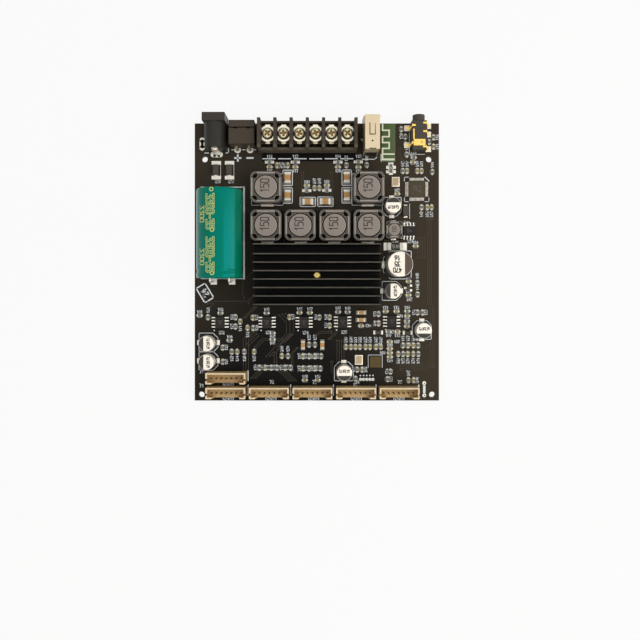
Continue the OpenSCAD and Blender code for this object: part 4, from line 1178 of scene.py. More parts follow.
@dataclass
class PowerInputs(Assembly):
    """Barrel jack and two-way power header with their pads."""

    edge: float = 0.14
    pin_edge: float = 0.06
    tab_edge: float = 0.05
    pad_t: float = 0.05
    post_pad: Point = (0.62, 1.4)
    post_in: float = 0.4
    front_pad: Point = (5.0, 2.4)
    front_pad_at: Point = (-0.3, -1.1)
    side_pad: Point = (2.2, 5.3)
    side_pad_at: Point = (-1.7, -3.5)
    side_slot: Point = (1.0, 3.7)
    slot_proud: float = 0.01
    joint: Triple = (3.4, 2.2, 0.7)
    joint_out: float = 0.5
    groove_in: float = 2.9
    groove_deep: float = 0.3
    groove_w: float = 0.38
    groove_t: float = 0.22
    groove_margin: float = 0.3
    notch_l: float = 1.5
    notch_step: float = 0.3

    def build(self) -> None:
        """Make every piece."""
        ease("dc_jack_housing", BARREL, self.edge)
        ease("dc_jack_pin", NICKEL, self.pin_edge)
        ease("dc_jack_tabs", LEAD, self.tab_edge)
        ease("power_header_housing", MOULDED, self.edge)
        ease("power_header_pins", SHADED_POST, self.pin_edge)
        self.roof_groove()
        self.pads()

    def roof_groove(self) -> None:
        """Dark floor of painted shade in the groove across the power header's roof, with a notch for each
        way.
        """
        header = span("power_header_housing")
        x, y, z = header.centre.x, header.high.y - self.groove_in, header.high.z - self.groove_deep
        floor = Shape()
        floor.plate((header.size.x - self.groove_margin, self.groove_w), (x, y), self.groove_t, z)
        for side in (-1, 1):
            place = (x + side * header.size.x / 4, y - self.notch_step)
            floor.plate((self.notch_l, self.groove_w), place, self.groove_t, z)
        floor.piece("header_groove_shade", GROOVE)

    def pads(self) -> None:
        """Pads of both inputs, the slot in one of them and the solder on another."""
        pads, slot, joint = Shape(), Shape(), Shape()
        for lead in islands("power_header_pins"):
            pads.ring(*self.post_pad, (lead.centre.x, lead.low.y + self.post_in, 0.0), self.pad_t)
        jack = span("dc_jack_housing")
        front = (jack.centre.x + self.front_pad_at[0], jack.low.y + self.front_pad_at[1])
        side = (jack.low.x + self.side_pad_at[0], jack.centre.y + self.side_pad_at[1])
        pads.pill(front, self.front_pad, self.pad_t)
        pads.pill(side, self.side_pad, self.pad_t)
        slot.pill(side, self.side_slot, self.pad_t + self.slot_proud)
        joint.dome(self.joint, (jack.centre.x, jack.low.y - self.joint_out, 0.0))
        pads.piece("power_pads", PAD)
        slot.piece("jack_slot", BARE_AND_SHADOW)
        joint.piece("jack_solder", SOLDER, smooth=True)


@dataclass
class TerminalBlock(Assembly):
    """Six-way barrier block with plates, clamp washers and clamp screws."""

    ways: int = 6
    edge: float = 0.13
    plate_edge: float = 0.06
    clamp_edge: float = 0.08

    def build(self) -> None:
        """Make every piece."""
        ease("terminal_block", BLOCK_PLASTIC, self.edge)
        ease("terminal_plates", NICKEL, self.plate_edge)
        for way in range(1, self.ways + 1):
            ease(f"clamp_washer_{way}", WASHER, self.clamp_edge, body=f"clamp_{way}")
            ease(f"terminal_screw_{way}", CLAMP_SCREW, self.clamp_edge, body=f"screw_{way}")


@dataclass
class SignalPorts(Assembly):
    """Serial port, audio jack, antenna network and their pads."""

    shell_edge: float = 0.1
    insulator_edge: float = 0.08
    jack_edge: float = 0.14
    contact_edge: float = 0.05
    flap_margin: float = 1.8
    flap_t: float = 0.08
    flap_h: float = 6.2
    flap_in: float = 0.05
    flap_down: float = 6.6
    pad_t: float = 0.05
    jack_pad: Point = (2.3, 2.3)
    jack_pad_out: float = 1.2
    # Side of the jack and distance from the board's rear edge
    jack_feet: tuple[Point, ...] = ((-1, 2.0), (-1, 8.9), (1, 1.1), (1, 4.5), (1, 10.5))
    # Places and sizes of the antenna network's pads
    network: tuple[tuple[Point, Point], ...] = (
        ((30.2, 40.0), (2.0, 0.8)), ((28.9, 38.6), (1.2, 1.2)), ((31.6, 38.6), (1.2, 1.2)),
        ((30.2, 37.7), (1.6, 0.5)), ((28.9, 36.8), (1.2, 1.2)), ((31.6, 36.8), (1.2, 1.2)),
        ((30.2, 35.9), (1.6, 0.7)),
    )

    def build(self) -> None:
        """Make every piece."""
        ease("usb_shell", SHELL, self.shell_edge)
        ease("usb_insulator", PACKAGE, self.insulator_edge)
        dress("usb_contacts", GOLD)
        port = span("usb_shell")
        size = (port.size.x - self.flap_margin, self.flap_t)
        place = (port.centre.x, port.low.y + self.flap_in)
        flap = Shape()
        flap.plate(size, place, self.flap_h, port.high.z - self.flap_down)
        flap.piece("usb_rear_flap", SHELL)
        ease("audio_jack_body", JACK_PLASTIC, self.jack_edge)
        ease("audio_jack_contacts", GOLD, self.contact_edge)
        pads = Shape()
        jack = span("audio_jack_body")
        for side, back in self.jack_feet:
            x = jack.centre.x + side * (jack.size.x / 2 + self.jack_pad_out)
            pads.plate(self.jack_pad, (x, BOARD.half.y - back), self.pad_t)
        for place, size in self.network:
            pads.plate(size, place, self.pad_t)
        pads.piece("port_pads", PAD)


@dataclass
class Reservoir(Assembly):
    """Large capacitor lying on its side, with its sleeve print and bare end."""

    edge: float = 0.08
    print_t: float = 0.01
    starts: Point = (4.0, 20.4)
    main_text: str = "3300-35"
    main_arc: float = -2.4
    main_along: float = 5.6
    main_tall: float = 2.9
    main_narrow: float = 0.92
    outline_bold: float = 0.27
    core_bold: float = 0.1
    side_text: str = "3300"
    side_arc: float = -6.2
    side_along: float = 6.4
    side_tall: float = 2.3
    side_bold: float = 0.15
    end_ring: Point = (0.5, 0.85)
    end_ring_at: Point = (0.6, 1.2)
    row_ring: Point = (0.5, 0.9)
    row_ring_at: Point = (0.9, 12.6)
    pad: Point = (2.6, 2.6)
    pad_in: float = 0.6
    pad_t: float = 0.05
    end_r: float = 7.6
    end_t: float = 0.03
    end_sides: int = 48
    vent_l: float = 5.2
    vent_w: float = 0.4

    def build(self) -> None:
        """Make every piece."""
        ease("reservoir_can", SLEEVE, self.edge)
        dress("reservoir_bung", SEAL)
        dress("reservoir_leads", LEAD)
        can = span("reservoir_can")
        self.sleeve_print(can)
        pads = Shape()
        for lead in islands("reservoir_leads"):
            pads.plate(self.pad, (lead.centre.x, lead.low.y + self.pad_in), self.pad_t)
        pads.piece("reservoir_pads", PAD)
        self.closed_end(can)

    def sleeve_print(self, can: Span) -> None:
        """Outlined numbers and rings along the sleeve.

        Args:
            can: Box of the sleeved can.
        """
        marks, cores = Shape(), Shape()
        arc, ink = self.main_arc, self.print_t
        end = (arc + self.end_ring_at[0], can.high.y - self.end_ring_at[1], 0.0)
        marks.ring(*self.end_ring, end, ink)
        for start in self.starts:
            y = can.high.y - start
            text, main, tall = self.main_text, (arc, y - self.main_along), self.main_tall
            marks.digits(text, main, tall, -90, 0.0, ink, self.outline_bold, self.main_narrow)
            cores.digits(text, main, tall, -90, ink, ink, self.core_bold, self.main_narrow)
            marks.ring(*self.row_ring, (arc + self.row_ring_at[0], y - self.row_ring_at[1], 0.0), ink)
            side = (self.side_arc, y - self.side_along)
            marks.digits(self.side_text, side, self.side_tall, -90, 0.0, ink, self.side_bold)
        for shape in (marks, cores):
            shape.wrap_along_y(can.size.x / 2, (can.centre.x, can.centre.z))
        marks.piece("sleeve_print", SLEEVE_INK)
        cores.piece("sleeve_print_cores", SLEEVE)

    def closed_end(self, can: Span) -> None:
        """Bare end of the can inside the sleeve's edge, with painted shade for its pressed vent cross.

        Args:
            can: Box of the sleeved can.
        """
        place = Matrix.Translation((can.centre.x, can.high.y, can.centre.z))
        turn = place @ Matrix.Rotation(math.radians(-90), 4, "X")
        end, vent = Shape(), Shape()
        end.disc(self.end_r, (0, 0, 0), self.end_t, self.end_sides)
        reach = self.vent_l * math.sqrt(0.5)
        for side in (-1, 1):
            vent.bar((-reach, -side * reach), (reach, side * reach), self.vent_w, self.end_t, self.print_t)
        for shape in (end, vent):
            bmesh.ops.transform(shape.bm, matrix=turn, verts=shape.bm.verts)
        end.piece("reservoir_end", CAN)
        vent.piece("reservoir_vent_shade", VENT_SHADE)


@dataclass
class Inductors(Assembly):
    """Seven shielded inductors with their numbers, a painted highlight along each rim and painted shade in
    the corner pockets.
    """

    edge: float = 0.4
    edge_steps: int = 3
    core_edge: float = 0.12
    clip_edge: float = 0.06
    ink_t: float = 0.015
    ink_bold: float = 0.115
    ink_narrow: float = 0.8
    large_core: float = 6.0
    large_text: str = "150"
    large_tall: float = 3.3
    large_shift: Point = (-0.45, 0.4)
    small_text: str = "100"
    small_tall: float = 1.5
    rim_w: float = 0.5
    rim_inset: float = 0.6
    rim_t: float = 0.02
    corner: float = 1.6
    corner_step: int = 30
    shield_w: float = 12.3
    pocket: Point = (3.7, 4.9)
    pocket_w: float = 0.9
    pocket_floor: float = 2.3
    pocket_fill: float = 1.6

    def build(self) -> None:
        """Make every piece."""
        ease("inductor_shields", FERRITE, self.edge, self.edge_steps)
        ease("inductor_cores", CORE, self.core_edge)
        dress("inductor_windings", WIRE_ENAMEL)
        ease("inductor_terminals", CLIP, self.clip_edge)
        marks = Shape()
        for core in islands("inductor_cores"):
            place, text, tall = Vector(core.spot), self.small_text, self.small_tall
            if core.size.x > self.large_core:
                place += Vector(self.large_shift)
                text, tall = self.large_text, self.large_tall
            marks.digits(
                text, tuple(place), tall, 90, core.high.z, self.ink_t, self.ink_bold, self.ink_narrow,
            )
        marks.piece("inductor_numbers", DARK_INK)
        # Painted highlight rings round the shield tops and painted shade in their corner pockets
        rims, pockets = Shape(), Shape()
        for shield in islands("inductor_shields"):
            rims.path(self.rim_line(shield), self.rim_w, shield.high.z, self.rim_t, closed=True)
            self.fill_pockets(pockets, shield)
        rims.piece("inductor_rim_highlights", FERRITE_RIM_HIGHLIGHT)
        pockets.piece("inductor_pocket_shade", POCKET_SHADE)

    def rim_line(self, shield: Span) -> list[Point]:
        """Middle line of the painted highlight along the rim of one shield.

        Args:
            shield: Box of the shield.

        Returns:
            Points round the top, with rounded corners.
        """
        corner = self.corner * shield.size.x / self.shield_w
        straight = shield.size.x / 2 - self.rim_inset - corner
        points = []
        for quarter in range(0, 360, 90):
            middle = Matrix.Rotation(math.radians(quarter), 2) @ Vector((straight, straight))
            middle += Vector(shield.spot)
            for step in range(0, 91, self.corner_step):
                turn = math.radians(quarter + step)
                points.append((middle.x + corner * math.cos(turn), middle.y + corner * math.sin(turn)))
        return points

    def fill_pockets(self, pockets: Shape, shield: Span) -> None:
        """Dark bars of painted shade in the four corner pockets of one shield.

        Args:
            pockets: Mesh that takes them.
            shield: Box of the shield.
        """
        scale = shield.size.x / self.shield_w
        near, far = (scale * reach for reach in self.pocket)
        floor = shield.high.z - self.pocket_floor
        for x in (-1, 1):
            for y in (-1, 1):
                start = (shield.centre.x + x * near, shield.centre.y + y * far)
                end = (shield.centre.x + x * far, shield.centre.y + y * near)
                pockets.bar(start, end, self.pocket_w * scale, floor, self.pocket_fill)


@dataclass
class Electrolytics(Assembly):
    """Surface mount electrolytic capacitors with marked tops."""

    base_edge: float = 0.12
    can_edge: float = 0.1
    terminal_edge: float = 0.05
    ink_t: float = 0.02
    rim: float = 0.2
    top_sides: int = 36
    marked_share: float = 0.32
    large: float = 8.0
    large_rows: tuple[str, ...] = ("470", "35", "16")
    small_rows: tuple[str, ...] = ("47", "35", "16")
    row_tall: float = 0.165
    row_step: float = 1.45
    row_off: float = 0.12
    row_bold: float = 0.24
    row_narrow: float = 0.95
    large_pad: Point = (1.2, 2.9)
    small_pad: Point = (1.5, 2.1)
    pad_out: float = 0.55
    pad_t: float = 0.05

    def build(self) -> None:
        """Make every piece."""
        ease("electrolytic_bases", BASE_PLASTIC, self.base_edge)
        ease("electrolytic_cans", CAN, self.can_edge)
        ease("electrolytic_terminals", LEAD, self.terminal_edge)
        small, large, pads = Shape(), Shape(), Shape()
        for base, can in zip(islands("electrolytic_bases"), islands("electrolytic_cans")):
            side = (base.centre - base.mean).normalized()
            big = can.size.x > self.large
            self.segment(large if big else small, can, side)
            self.numbers(small, can, side, self.large_rows if big else self.small_rows)
            size = swapped(self.large_pad if big else self.small_pad, abs(side.x) <= abs(side.y))
            for way in (-1, 1):
                spot = base.centre + side * way * (base.size.x / 2 + self.pad_out)
                pads.plate(size, (spot.x, spot.y), self.pad_t)
        small.piece("capacitor_marks", BLACK_INK)
        large.piece("bulk_capacitor_mark", BROWN_INK)
        pads.piece("capacitor_pads", PAD)

    def segment(self, marks: Shape, can: Span, side: Vector) -> None:
        """Dark segment on one top.

        Args:
            marks: Mesh that takes the ink.
            can: Box of the can.
            side: Direction of the marked side.
        """
        radius = can.size.x / 2 - self.rim
        place = Vector((can.centre.x, can.centre.y, can.high.z))
        verts = marks.disc(radius, place, self.ink_t, self.top_sides)
        edges = {e for v in verts for e in v.link_edges}
        faces = {f for v in verts for f in v.link_faces}
        cut = place + side * radius * (1 - 2 * self.marked_share)
        result = bmesh.ops.bisect_plane(
            marks.bm, geom=list(verts) + list(edges) + list(faces), plane_co=cut, plane_no=side,
            clear_inner=True,
        )
        rim = [g for g in result["geom_cut"] if isinstance(g, bmesh.types.BMEdge)]
        bmesh.ops.holes_fill(marks.bm, edges=rim, sides=0)

    def numbers(self, marks: Shape, can: Span, side: Vector, rows: Sequence[str]) -> None:
        """Rows of digits on the plain part of one top.

        Args:
            marks: Mesh that takes the ink.
            can: Box of the can.
            side: Direction of the marked side.
            rows: Text from the top down.
        """
        tall = can.size.x * self.row_tall
        turn = math.atan2(-side.y, -side.x)
        up = Vector((-math.sin(turn), math.cos(turn), 0))
        middle = can.centre - side * can.size.x * self.row_off
        for index, text in enumerate(rows):
            spot = middle + up * (1 - index) * tall * self.row_step
            marks.digits(
                text, (spot.x, spot.y), tall, math.degrees(turn), can.high.z, self.ink_t, self.row_bold,
                self.row_narrow,
            )


@dataclass
class SignalHeaders(Assembly):
    """Six cream wiring headers."""

    edge: float = 0.12

    def build(self) -> None:
        """Make every piece."""
        ease("signal_header_housings", HEADER, self.edge)
        dress("signal_header_pins", SHADED_HEADER_PIN)


@dataclass
class Chips(Assembly):
    """Packaged chips, crystals, diodes and their soldered leads."""

    package_edge: float = 0.07
    leadless_edge: float = 0.05
    can_edge: float = 0.1
    lead_edge: float = 0.05
    solder_t: float = 0.09
    chip_foot: Point = (0.46, 0.9)
    radio_foot: Point = (0.22, 0.35)
    power_h: float = 1.5
    power_pad: Point = (3.8, 1.5)
    power_pad_out: float = 3.0
    small_lead: float = 1.0
    small_foot: Point = (0.7, 0.8)
    small_foot_grow: float = 0.5
    lid_margin: float = 0.45
    lid_t: float = 0.04
    chip_rows: tuple[str, ...] = ("1234", "56")
    radio_rows: tuple[str, ...] = ("1234", "5678")
    row_tall: float = 0.17
    row_step: float = 1.5
    row_bold: float = 0.16
    ink_t: float = 0.012

    def build(self) -> None:
        """Make every piece."""
        ease("op_amp_chips", PACKAGE, self.package_edge)
        dress("op_amp_leads", LEAD)
        ease("radio_chip", RADIO_PACKAGE, self.package_edge)
        dress("radio_chip_leads", LEAD)
        ease("control_chip", BROWN_PACKAGE, self.leadless_edge)
        ease("crystals", LID, self.can_edge)
        ease("small_semiconductors", DIODE_PACKAGE, self.can_edge)
        ease("small_semiconductor_leads", LEAD, self.lead_edge)
        self.solder()
        lids = Shape()
        for can in islands("crystals"):
            lids.plate(can.grown(-self.lid_margin), can.spot, self.lid_t, can.high.z)
        lids.piece("crystal_lids", LID_TOP)
        marks = Shape()
        for chip in islands("op_amp_chips"):
            self.number(marks, chip, 0 if chip.upright else 90, self.chip_rows)
        for chip in islands("radio_chip"):
            self.number(marks, chip, 0, self.radio_rows)
        marks.piece("package_numbers", GREY_INK)

    def solder(self) -> None:
        """Pads under every lead and under the two input diodes."""
        pads = Shape()
        for lead in islands("op_amp_leads"):
            self.solder_foot(pads, lead, *self.chip_foot)
        for lead in islands("radio_chip_leads"):
            self.solder_foot(pads, lead, *self.radio_foot)
        for body in islands("small_semiconductors"):
            if body.size.z > self.power_h and body.centre.x < 0:
                for way in (-1, 1):
                    place = (body.centre.x, body.centre.y + way * self.power_pad_out)
                    pads.plate(self.power_pad, place, self.solder_t)
        for lead in islands("small_semiconductor_leads"):
            if lead.size.x < self.small_lead:
                least, extra = self.small_foot
                width = max(min(lead.size.x, lead.size.y) + self.small_foot_grow, least)
                self.solder_foot(pads, lead, width, extra)
        pads.piece("lead_solder", PAD)

    def solder_foot(self, pads: Shape, lead: Span, width: float, extra: float) -> None:
        """Pad under one lead.

        Args:
            pads: Mesh that takes it.
            lead: Box of the lead.
            width: Width across the lead.
            extra: Length past the lead.
        """
        size = (width, lead.size.y + extra) if lead.upright else (lead.size.x + extra, width)
        pads.plate(size, lead.spot, self.solder_t)

    def number(self, marks: Shape, chip: Span, turn: float, rows: Sequence[str]) -> None:
        """Rows of digits on a package.

        Args:
            marks: Mesh that takes the ink.
            chip: Box of the package.
            turn: Turn of the rows, in degrees.
            rows: Text from the top down.
        """
        tall = min(chip.size.x, chip.size.y) * self.row_tall
        spin = Matrix.Rotation(math.radians(turn), 2)
        for index, text in enumerate(rows):
            shift = spin @ Vector((0, (len(rows) / 2 - 0.5 - index) * tall * self.row_step))
            place = (chip.centre.x + shift.x, chip.centre.y + shift.y)
            marks.digits(text, place, tall, turn, chip.high.z, self.ink_t, self.row_bold)


@dataclass
class ChipParts(Assembly):
    """Chip resistors and capacitors, their end caps, solder fillets and pads."""

    edge: float = 0.07
    ceramic_edge: float = 0.12
    cap_edge: float = 0.09
    fillet_reach: float = 0.42
    fillet_side: float = 0.05
    fillet_rise: float = 0.75
    small_cap: float = 1.5
    ceramic_w: float = 2.4
    middle_l: float = 2.2
    glaze: float = 0.1
    pad_t: float = 0.05
    shunt_w: float = 3.0
    # Places along the shunt resistor and widths of its pads
    shunt_pads: tuple[Point, ...] = ((-4.15, 1.2), (-3.0, 0.9), (3.6, 2.2))
    shunt_pad_d: float = 3.1
    coat_in: float = 0.1
    coat_t: float = 0.02
    shunt_text: str = "100"
    shunt_tall: float = 1.6
    shunt_bold: float = 0.16
    shunt_narrow: float = 0.9
    ink_t: float = 0.015
    filter_front: float = 25.0
    filter_side: float = 20.0
    filter_pad: Point = (0.85, 1.1)
    filter_pad_out: float = 1.4

    def build(self) -> None:
        """Make every piece."""
        ease("chip_resistors", RESISTOR, self.edge)
        ease("chip_capacitors", CHIP_CERAMIC, self.edge)
        ease("ceramic_capacitors", CERAMIC, self.ceramic_edge)
        ease("chip_end_caps", SOLDER, self.cap_edge)
        self.ceramic_middles()
        self.fillets()
        pads, marks, coat = Shape(), Shape(), Shape()
        for body in islands("chip_resistors"):
            c = body.centre
            if body.size.x > self.shunt_w:
                for x, width in self.shunt_pads:
                    pads.plate((width, self.shunt_pad_d), (c.x + x, c.y), self.pad_t)
                coat.plate(body.grown(-self.coat_in), body.spot, self.coat_t, body.high.z)
                marks.digits(
                    self.shunt_text, body.spot, self.shunt_tall, 0, body.high.z + self.coat_t, self.ink_t,
                    self.shunt_bold, self.shunt_narrow,
                )
            elif c.y > self.filter_front and abs(c.x) < self.filter_side and not self.stands(body):
                for side in (-1, 1):
                    pads.plate(self.filter_pad, (c.x + side * self.filter_pad_out, c.y), self.pad_t)
        pads.piece("resistor_pads", PAD)
        marks.piece("shunt_number", PALE_INK)
        coat.piece("shunt_coat", PACKAGE)

    def ceramic_middles(self) -> None:
        """Bare middles of the large ceramic capacitors, between their soldered ends."""
        middles = Shape()
        for body in islands("ceramic_capacitors"):
            upright = self.stands(body)
            wide = body.size.x if upright else body.size.y
            size = (wide + self.glaze, self.middle_l * wide / self.ceramic_w)
            middles.plate(swapped(size, not upright), body.spot, body.high.z + self.glaze)
        middles.piece("ceramic_middles", CERAMIC)

    def fillets(self) -> None:
        """Solder at the ends of the small chip parts."""
        fillets = Shape()
        for cap in islands("chip_end_caps"):
            if max(cap.size.x, cap.size.y) > self.small_cap:
                continue
            wide = cap.size.x > cap.size.y
            length = cap.size.x + (self.fillet_side if wide else 2 * self.fillet_reach)
            depth = cap.size.y + (2 * self.fillet_reach if wide else self.fillet_side)
            fillets.dome((length, depth, cap.size.z * self.fillet_rise), (*cap.spot, 0.0))
        fillets.piece("solder_fillets", SOLDER, smooth=True)

    @staticmethod
    def stands(body: Span) -> bool:
        """Whether a chip part's ends point to front and rear.

        Args:
            body: Box of the part's body.

        Returns:
            True where the nearest end cap is in front of or behind it.
        """
        near = min(islands("chip_end_caps"), key=lambda cap: (cap.centre - body.centre).length)
        gap = near.centre - body.centre
        return abs(gap.y) > abs(gap.x)


class Side(Enum):
    """Where a label stands beside its part."""

    REAR = (0, 1)
    FRONT = (0, -1)
    LEFT = (-1, 0)
    RIGHT = (1, 0)


Region = tuple[float, float, float, float, Side]

# Side that takes the number of the chip parts in a rectangle, as x from, x to, y from, y to
FREE_SIDES: tuple[Region, ...] = (
    (-34, -33, -27, -21, Side.LEFT), (-32, -30.5, -25, -23.5, Side.FRONT),
    (-29, -27.5, -28, -25.5, Side.FRONT), (-27, -25, -28, -22, Side.RIGHT),
    (-19, -17, -33, -28, Side.FRONT), (-39, -37.5, -42, -33, Side.RIGHT),
    (-37, -25, -37.5, -35.5, Side.FRONT), (-26, 9, -44.5, -42, Side.LEFT), (-7, 9, -39.2, -37.8, Side.LEFT),
    (-12, -10.5, -23.5, -21.5, Side.RIGHT), (0, 6, -28, -21, Side.LEFT),
    (17.5, 18.5, -27, -22.5, Side.RIGHT), (24.5, 26, -27, -19, Side.LEFT),
    (36, 37.5, -22.6, -21.4, Side.LEFT), (28.5, 33.5, -29, -28, Side.FRONT),
    (29, 30.5, -33, -32, Side.RIGHT), (29, 30.5, -37.5, -36.5, Side.LEFT),
    (29, 30.5, -39.5, -38, Side.FRONT), (33, 45, -38, -36.5, Side.FRONT), (43.5, 45, -35, -33, Side.RIGHT),
    (40.5, 41.5, -21.5, -19.5, Side.LEFT), (42.5, 43.5, -21.5, -19.5, Side.RIGHT),
    (29, 31, -46, -43.5, Side.LEFT), (28, 29.5, -49, -46.5, Side.RIGHT), (38.5, 42, -49, -47, Side.RIGHT),
    (16, 17, -45, -43, Side.LEFT), (18, 19, -45, -43, Side.RIGHT), (15, 16.5, -49, -47, Side.FRONT),
    (34, 35, 53, 55, Side.FRONT), (35.5, 37, 50, 52, Side.FRONT), (47, 49, 44, 56, Side.RIGHT),
    (40, 49, 21, 24, Side.FRONT), (-20, 18, 38, 39, Side.FRONT), (-17, -15, 39, 40, Side.RIGHT),
    (-13, -11, 39, 40, Side.LEFT),
)

Corner = tuple[float, float, float, float]
Line = tuple[Corner, ...]

# Lines of ink round a node: its name, their width, and points as a share of its box and a shift, for x and y
NODE_LINES: tuple[tuple[str, float, Line], ...] = (
    ("dc_jack_housing", 0.35, ((1, 0, 0, 1.3), (1, 0, 0, -0.5), (1, -1.0, 0, -0.5))),
    ("dc_jack_housing", 0.35, ((0, -0.6, 0, -0.5), (0, 0.8, 0, -0.5))),
    *(("terminal_block", 0.4, ((0, x, 0, -2.3), (0, x + 4.9, 0, -2.3)))
      for x in (1.4, 7.75, 14.1, 20.45, 26.8, 33.15)),
    ("usb_shell", 0.3, ((0, 0.2, 0, -1.4), (1, -1.4, 0, -1.4), (1, -0.6, 0, -0.6))),
    ("audio_jack_body", 0.22, ((0, -0.3, 1, -6.5), (0, -0.3, 0, -1.0), (1, -0.3, 0, -1.0))),
    ("antenna_trace", 0.3, ((0, -0.3, 0, 2.5), (0, -0.3, 0, -0.5), (1, -0.6, 0, -0.5))),
    ("reservoir_can", 0.4, ((0, -0.1, 1, 2.3), (1, -0.4, 1, 2.3))),
    ("reservoir_can", 0.7, ((1, -0.4, 1, 2.3), (1, -0.4, 0, 0))),
    ("reservoir_can", 0.3, ((1, -0.4, 0, 0), (0, -0.1, 0, 0), (0, -0.1, 1, 2.3))),
    ("control_chip", 0.22, ((0.5, -2.85, 0.5, -2.3), (0.5, -2.85, 0.5, 2.75), (0.5, 2.85, 0.5, 2.75),
                            (0.5, 2.85, 0.5, -2.3))),
)
# Lines in front of and behind a chip that lies along x, and on both sides of one that lies along y
LYING_CHIP: tuple[Line, Line] = (((0, 0, 0, -0.25), (1, 0, 0, -0.25)), ((0, 0, 1, 0.25), (1, 0, 1, 0.25)))
UPRIGHT_CHIP: tuple[Line, Line] = (
    ((0, -0.15, 0.5, -1), (0, -0.15, 0.5, 1)), ((1, 0.15, 0.5, -1), (1, 0.15, 0.5, 1)),
)
# Line at the right of a power diode and of a wiring header
DIODE_LINE: Line = ((1, 0.45, 0, -0.8), (1, 0.45, 1, 0.8))
HEADER_LINE: Line = ((1, 0.55, 1, 0.2), (1, 0.55, 0, 0.7))


@dataclass
class Legend(Assembly):
    """White printing: outlines, polarity marks, frames and part numbers, and the pads among it."""

    ink: Shape = field(default_factory=Shape)
    ink_t: float = 0.02
    line: float = 0.22
    text: float = 1.1
    text_bold: float = 0.23
    first_number: int = 101
    sign_out: float = 2.5
    sign_down: float = 4.0
    sign_tall: float = 4.4
    sign_bold: float = 0.16
    post_in: float = 0.4
    # Places beside the power header's middle and half lengths of the dashes between its posts
    post_dashes: tuple[Point, ...] = ((0.0, 0.5), (-4.6, 0.3), (4.6, 0.3))
    post_line: float = 0.35
    base_grow: float = 0.55
    base_clip: float = 0.5
    base_gate: float = 1.5
    base_line: float = 0.28
    rear_row: float = 25.0
    shield_grow: float = 0.25
    shield_line: float = 0.2
    radio_grow: float = 0.5
    radio_corner: float = 1.6
    radio_key: float = 0.35
    chip_line: float = 0.16
    chip_dot_r: float = 0.28
    chip_dot_out: Point = (0.5, 0.9)
    power_h: float = 1.5
    diode_line: float = 0.2
    ceramic_large: float = 2.0
    ceramic_box: Point = (3.8, 6.3)
    ceramic_line: float = 0.32
    large_slope: Point = (2.7, 1.3)
    large_reach: float = 2.15
    small_slope: Point = (1.7, 1.1)
    small_reach: float = 1.6
    slope_t: float = 0.04
    end_size: Point = (2.5, 0.75)
    end_reach: float = 1.7
    end_rise: float = 0.8
    standing_reach: Point = (1.45, 2.85)
    lying_reach: Point = (2.9, 1.5)
    far_reach: Point = (2.9, 2.4)
    far_rows: Point = (40.0, 41.5)
    side_half: float = 0.8
    side_gap: float = 0.8
    side_line: float = 0.09
    # Nodes that get a number in front of each body, and how far in front
    front_numbers: tuple[tuple[str, float], ...] = (("op_amp_chips", 4.2), ("small_semiconductors", 4.6))
    front_shift: float = 0.6
    way_text: str = "1234567"
    way_shift: Point = (0.4, -0.88)
    way_tall: float = 0.95
    header_first: int = 71
    header_tall: float = 1.25
    header_shift: Point = (0.8, 1.5)
    header_line: float = 0.45
    left_header: float = -30.0
    left_spots: tuple[Point, Point] = ((-47.0, -44.7), (-47.0, -50.4))
    box_at: Point = (-45.65, -12.65)
    box_half: Point = (2.1, 3.4)
    box_turn: float = 31.0
    box_line: float = 0.5
    box_text: str = "24"
    box_tall: float = 2.3
    box_bold: float = 0.2
    test_holes: int = 5
    test_first: Point = (17.8, -47.9)
    test_pitch: float = 1.27
    test_ring: Point = (0.36, 0.62)
    test_dot_r: float = 0.3
    test_dot_y: float = -46.3
    probe_x: float = 43.8
    probes: Point = (-49.4, -54.4)
    probe_ring: Point = (0.36, 0.75)
    probe_bar: Point = (-50.8, -53.0)
    probe_bar_w: float = 1.0
    pad_t: float = 0.04
    pad_sides: int = 16
    dot_sides: int = 12

    def build(self) -> None:
        """Make every piece."""
        self.power_signs()
        for node, width, points in NODE_LINES:
            self.beside_box(span(node), width, points)
        self.outlines()
        self.chip_outlines()
        self.ceramic_frames()
        self.part_numbers()
        self.header_numbers()
        self.tilted_box()
        pads = self.test_points()
        self.ink.piece("legend", LEGEND)
        pads.piece("test_pads", PAD)

    def stroke(self, *points: Point, width: float | None = None, closed: bool = False) -> None:
        """Line of ink through points."""
        self.ink.path(points, width or self.line, 0.0, self.ink_t, closed)

    def number(self, value: str, at: Point, turn: float = 0.0, tall: float | None = None) -> None:
        """Digits in ink."""
        self.ink.digits(value, at, tall or self.text, turn, 0.0, self.ink_t, self.text_bold)

    def beside_box(self, box: Span, width: float, points: Line) -> None:
        """Line of ink through points that are given by a box.

        Args:
            box: The box.
            width: Width of the line.
            points: Shares of the box and shifts in millimetres, for x and y.
        """
        low, size = box.low, box.size
        placed = [(low.x + sx * size.x + x, low.y + sy * size.y + y) for sx, x, sy, y in points]
        self.stroke(*placed, width=width)

    def power_signs(self) -> None:
        """Polarity signs of the power header and the dashes between its posts."""
        header = span("power_header_housing")
        x, y = header.centre.x, header.low.y - self.sign_down
        for sign, side in (("+", -1), ("-", 1)):
            place = (x + side * self.sign_out, y)
            self.ink.digits(sign, place, self.sign_tall, 0, 0.0, self.ink_t, self.sign_bold)
        y = islands("power_header_pins")[0].low.y + self.post_in
        for place, reach in self.post_dashes:
            self.stroke((x + place - reach, y), (x + place + reach, y), width=self.post_line)

    def outlines(self) -> None:
        """Outlines round the electrolytic capacitors and the rear inductors."""
        for base in islands("electrolytic_bases"):
            self.clipped_square(base)
        for shield in islands("inductor_shields"):
            if shield.centre.y > self.rear_row:
                self.ink.frame(shield.spot, shield.grown(self.shield_grow), self.shield_line, 0.0, self.ink_t)

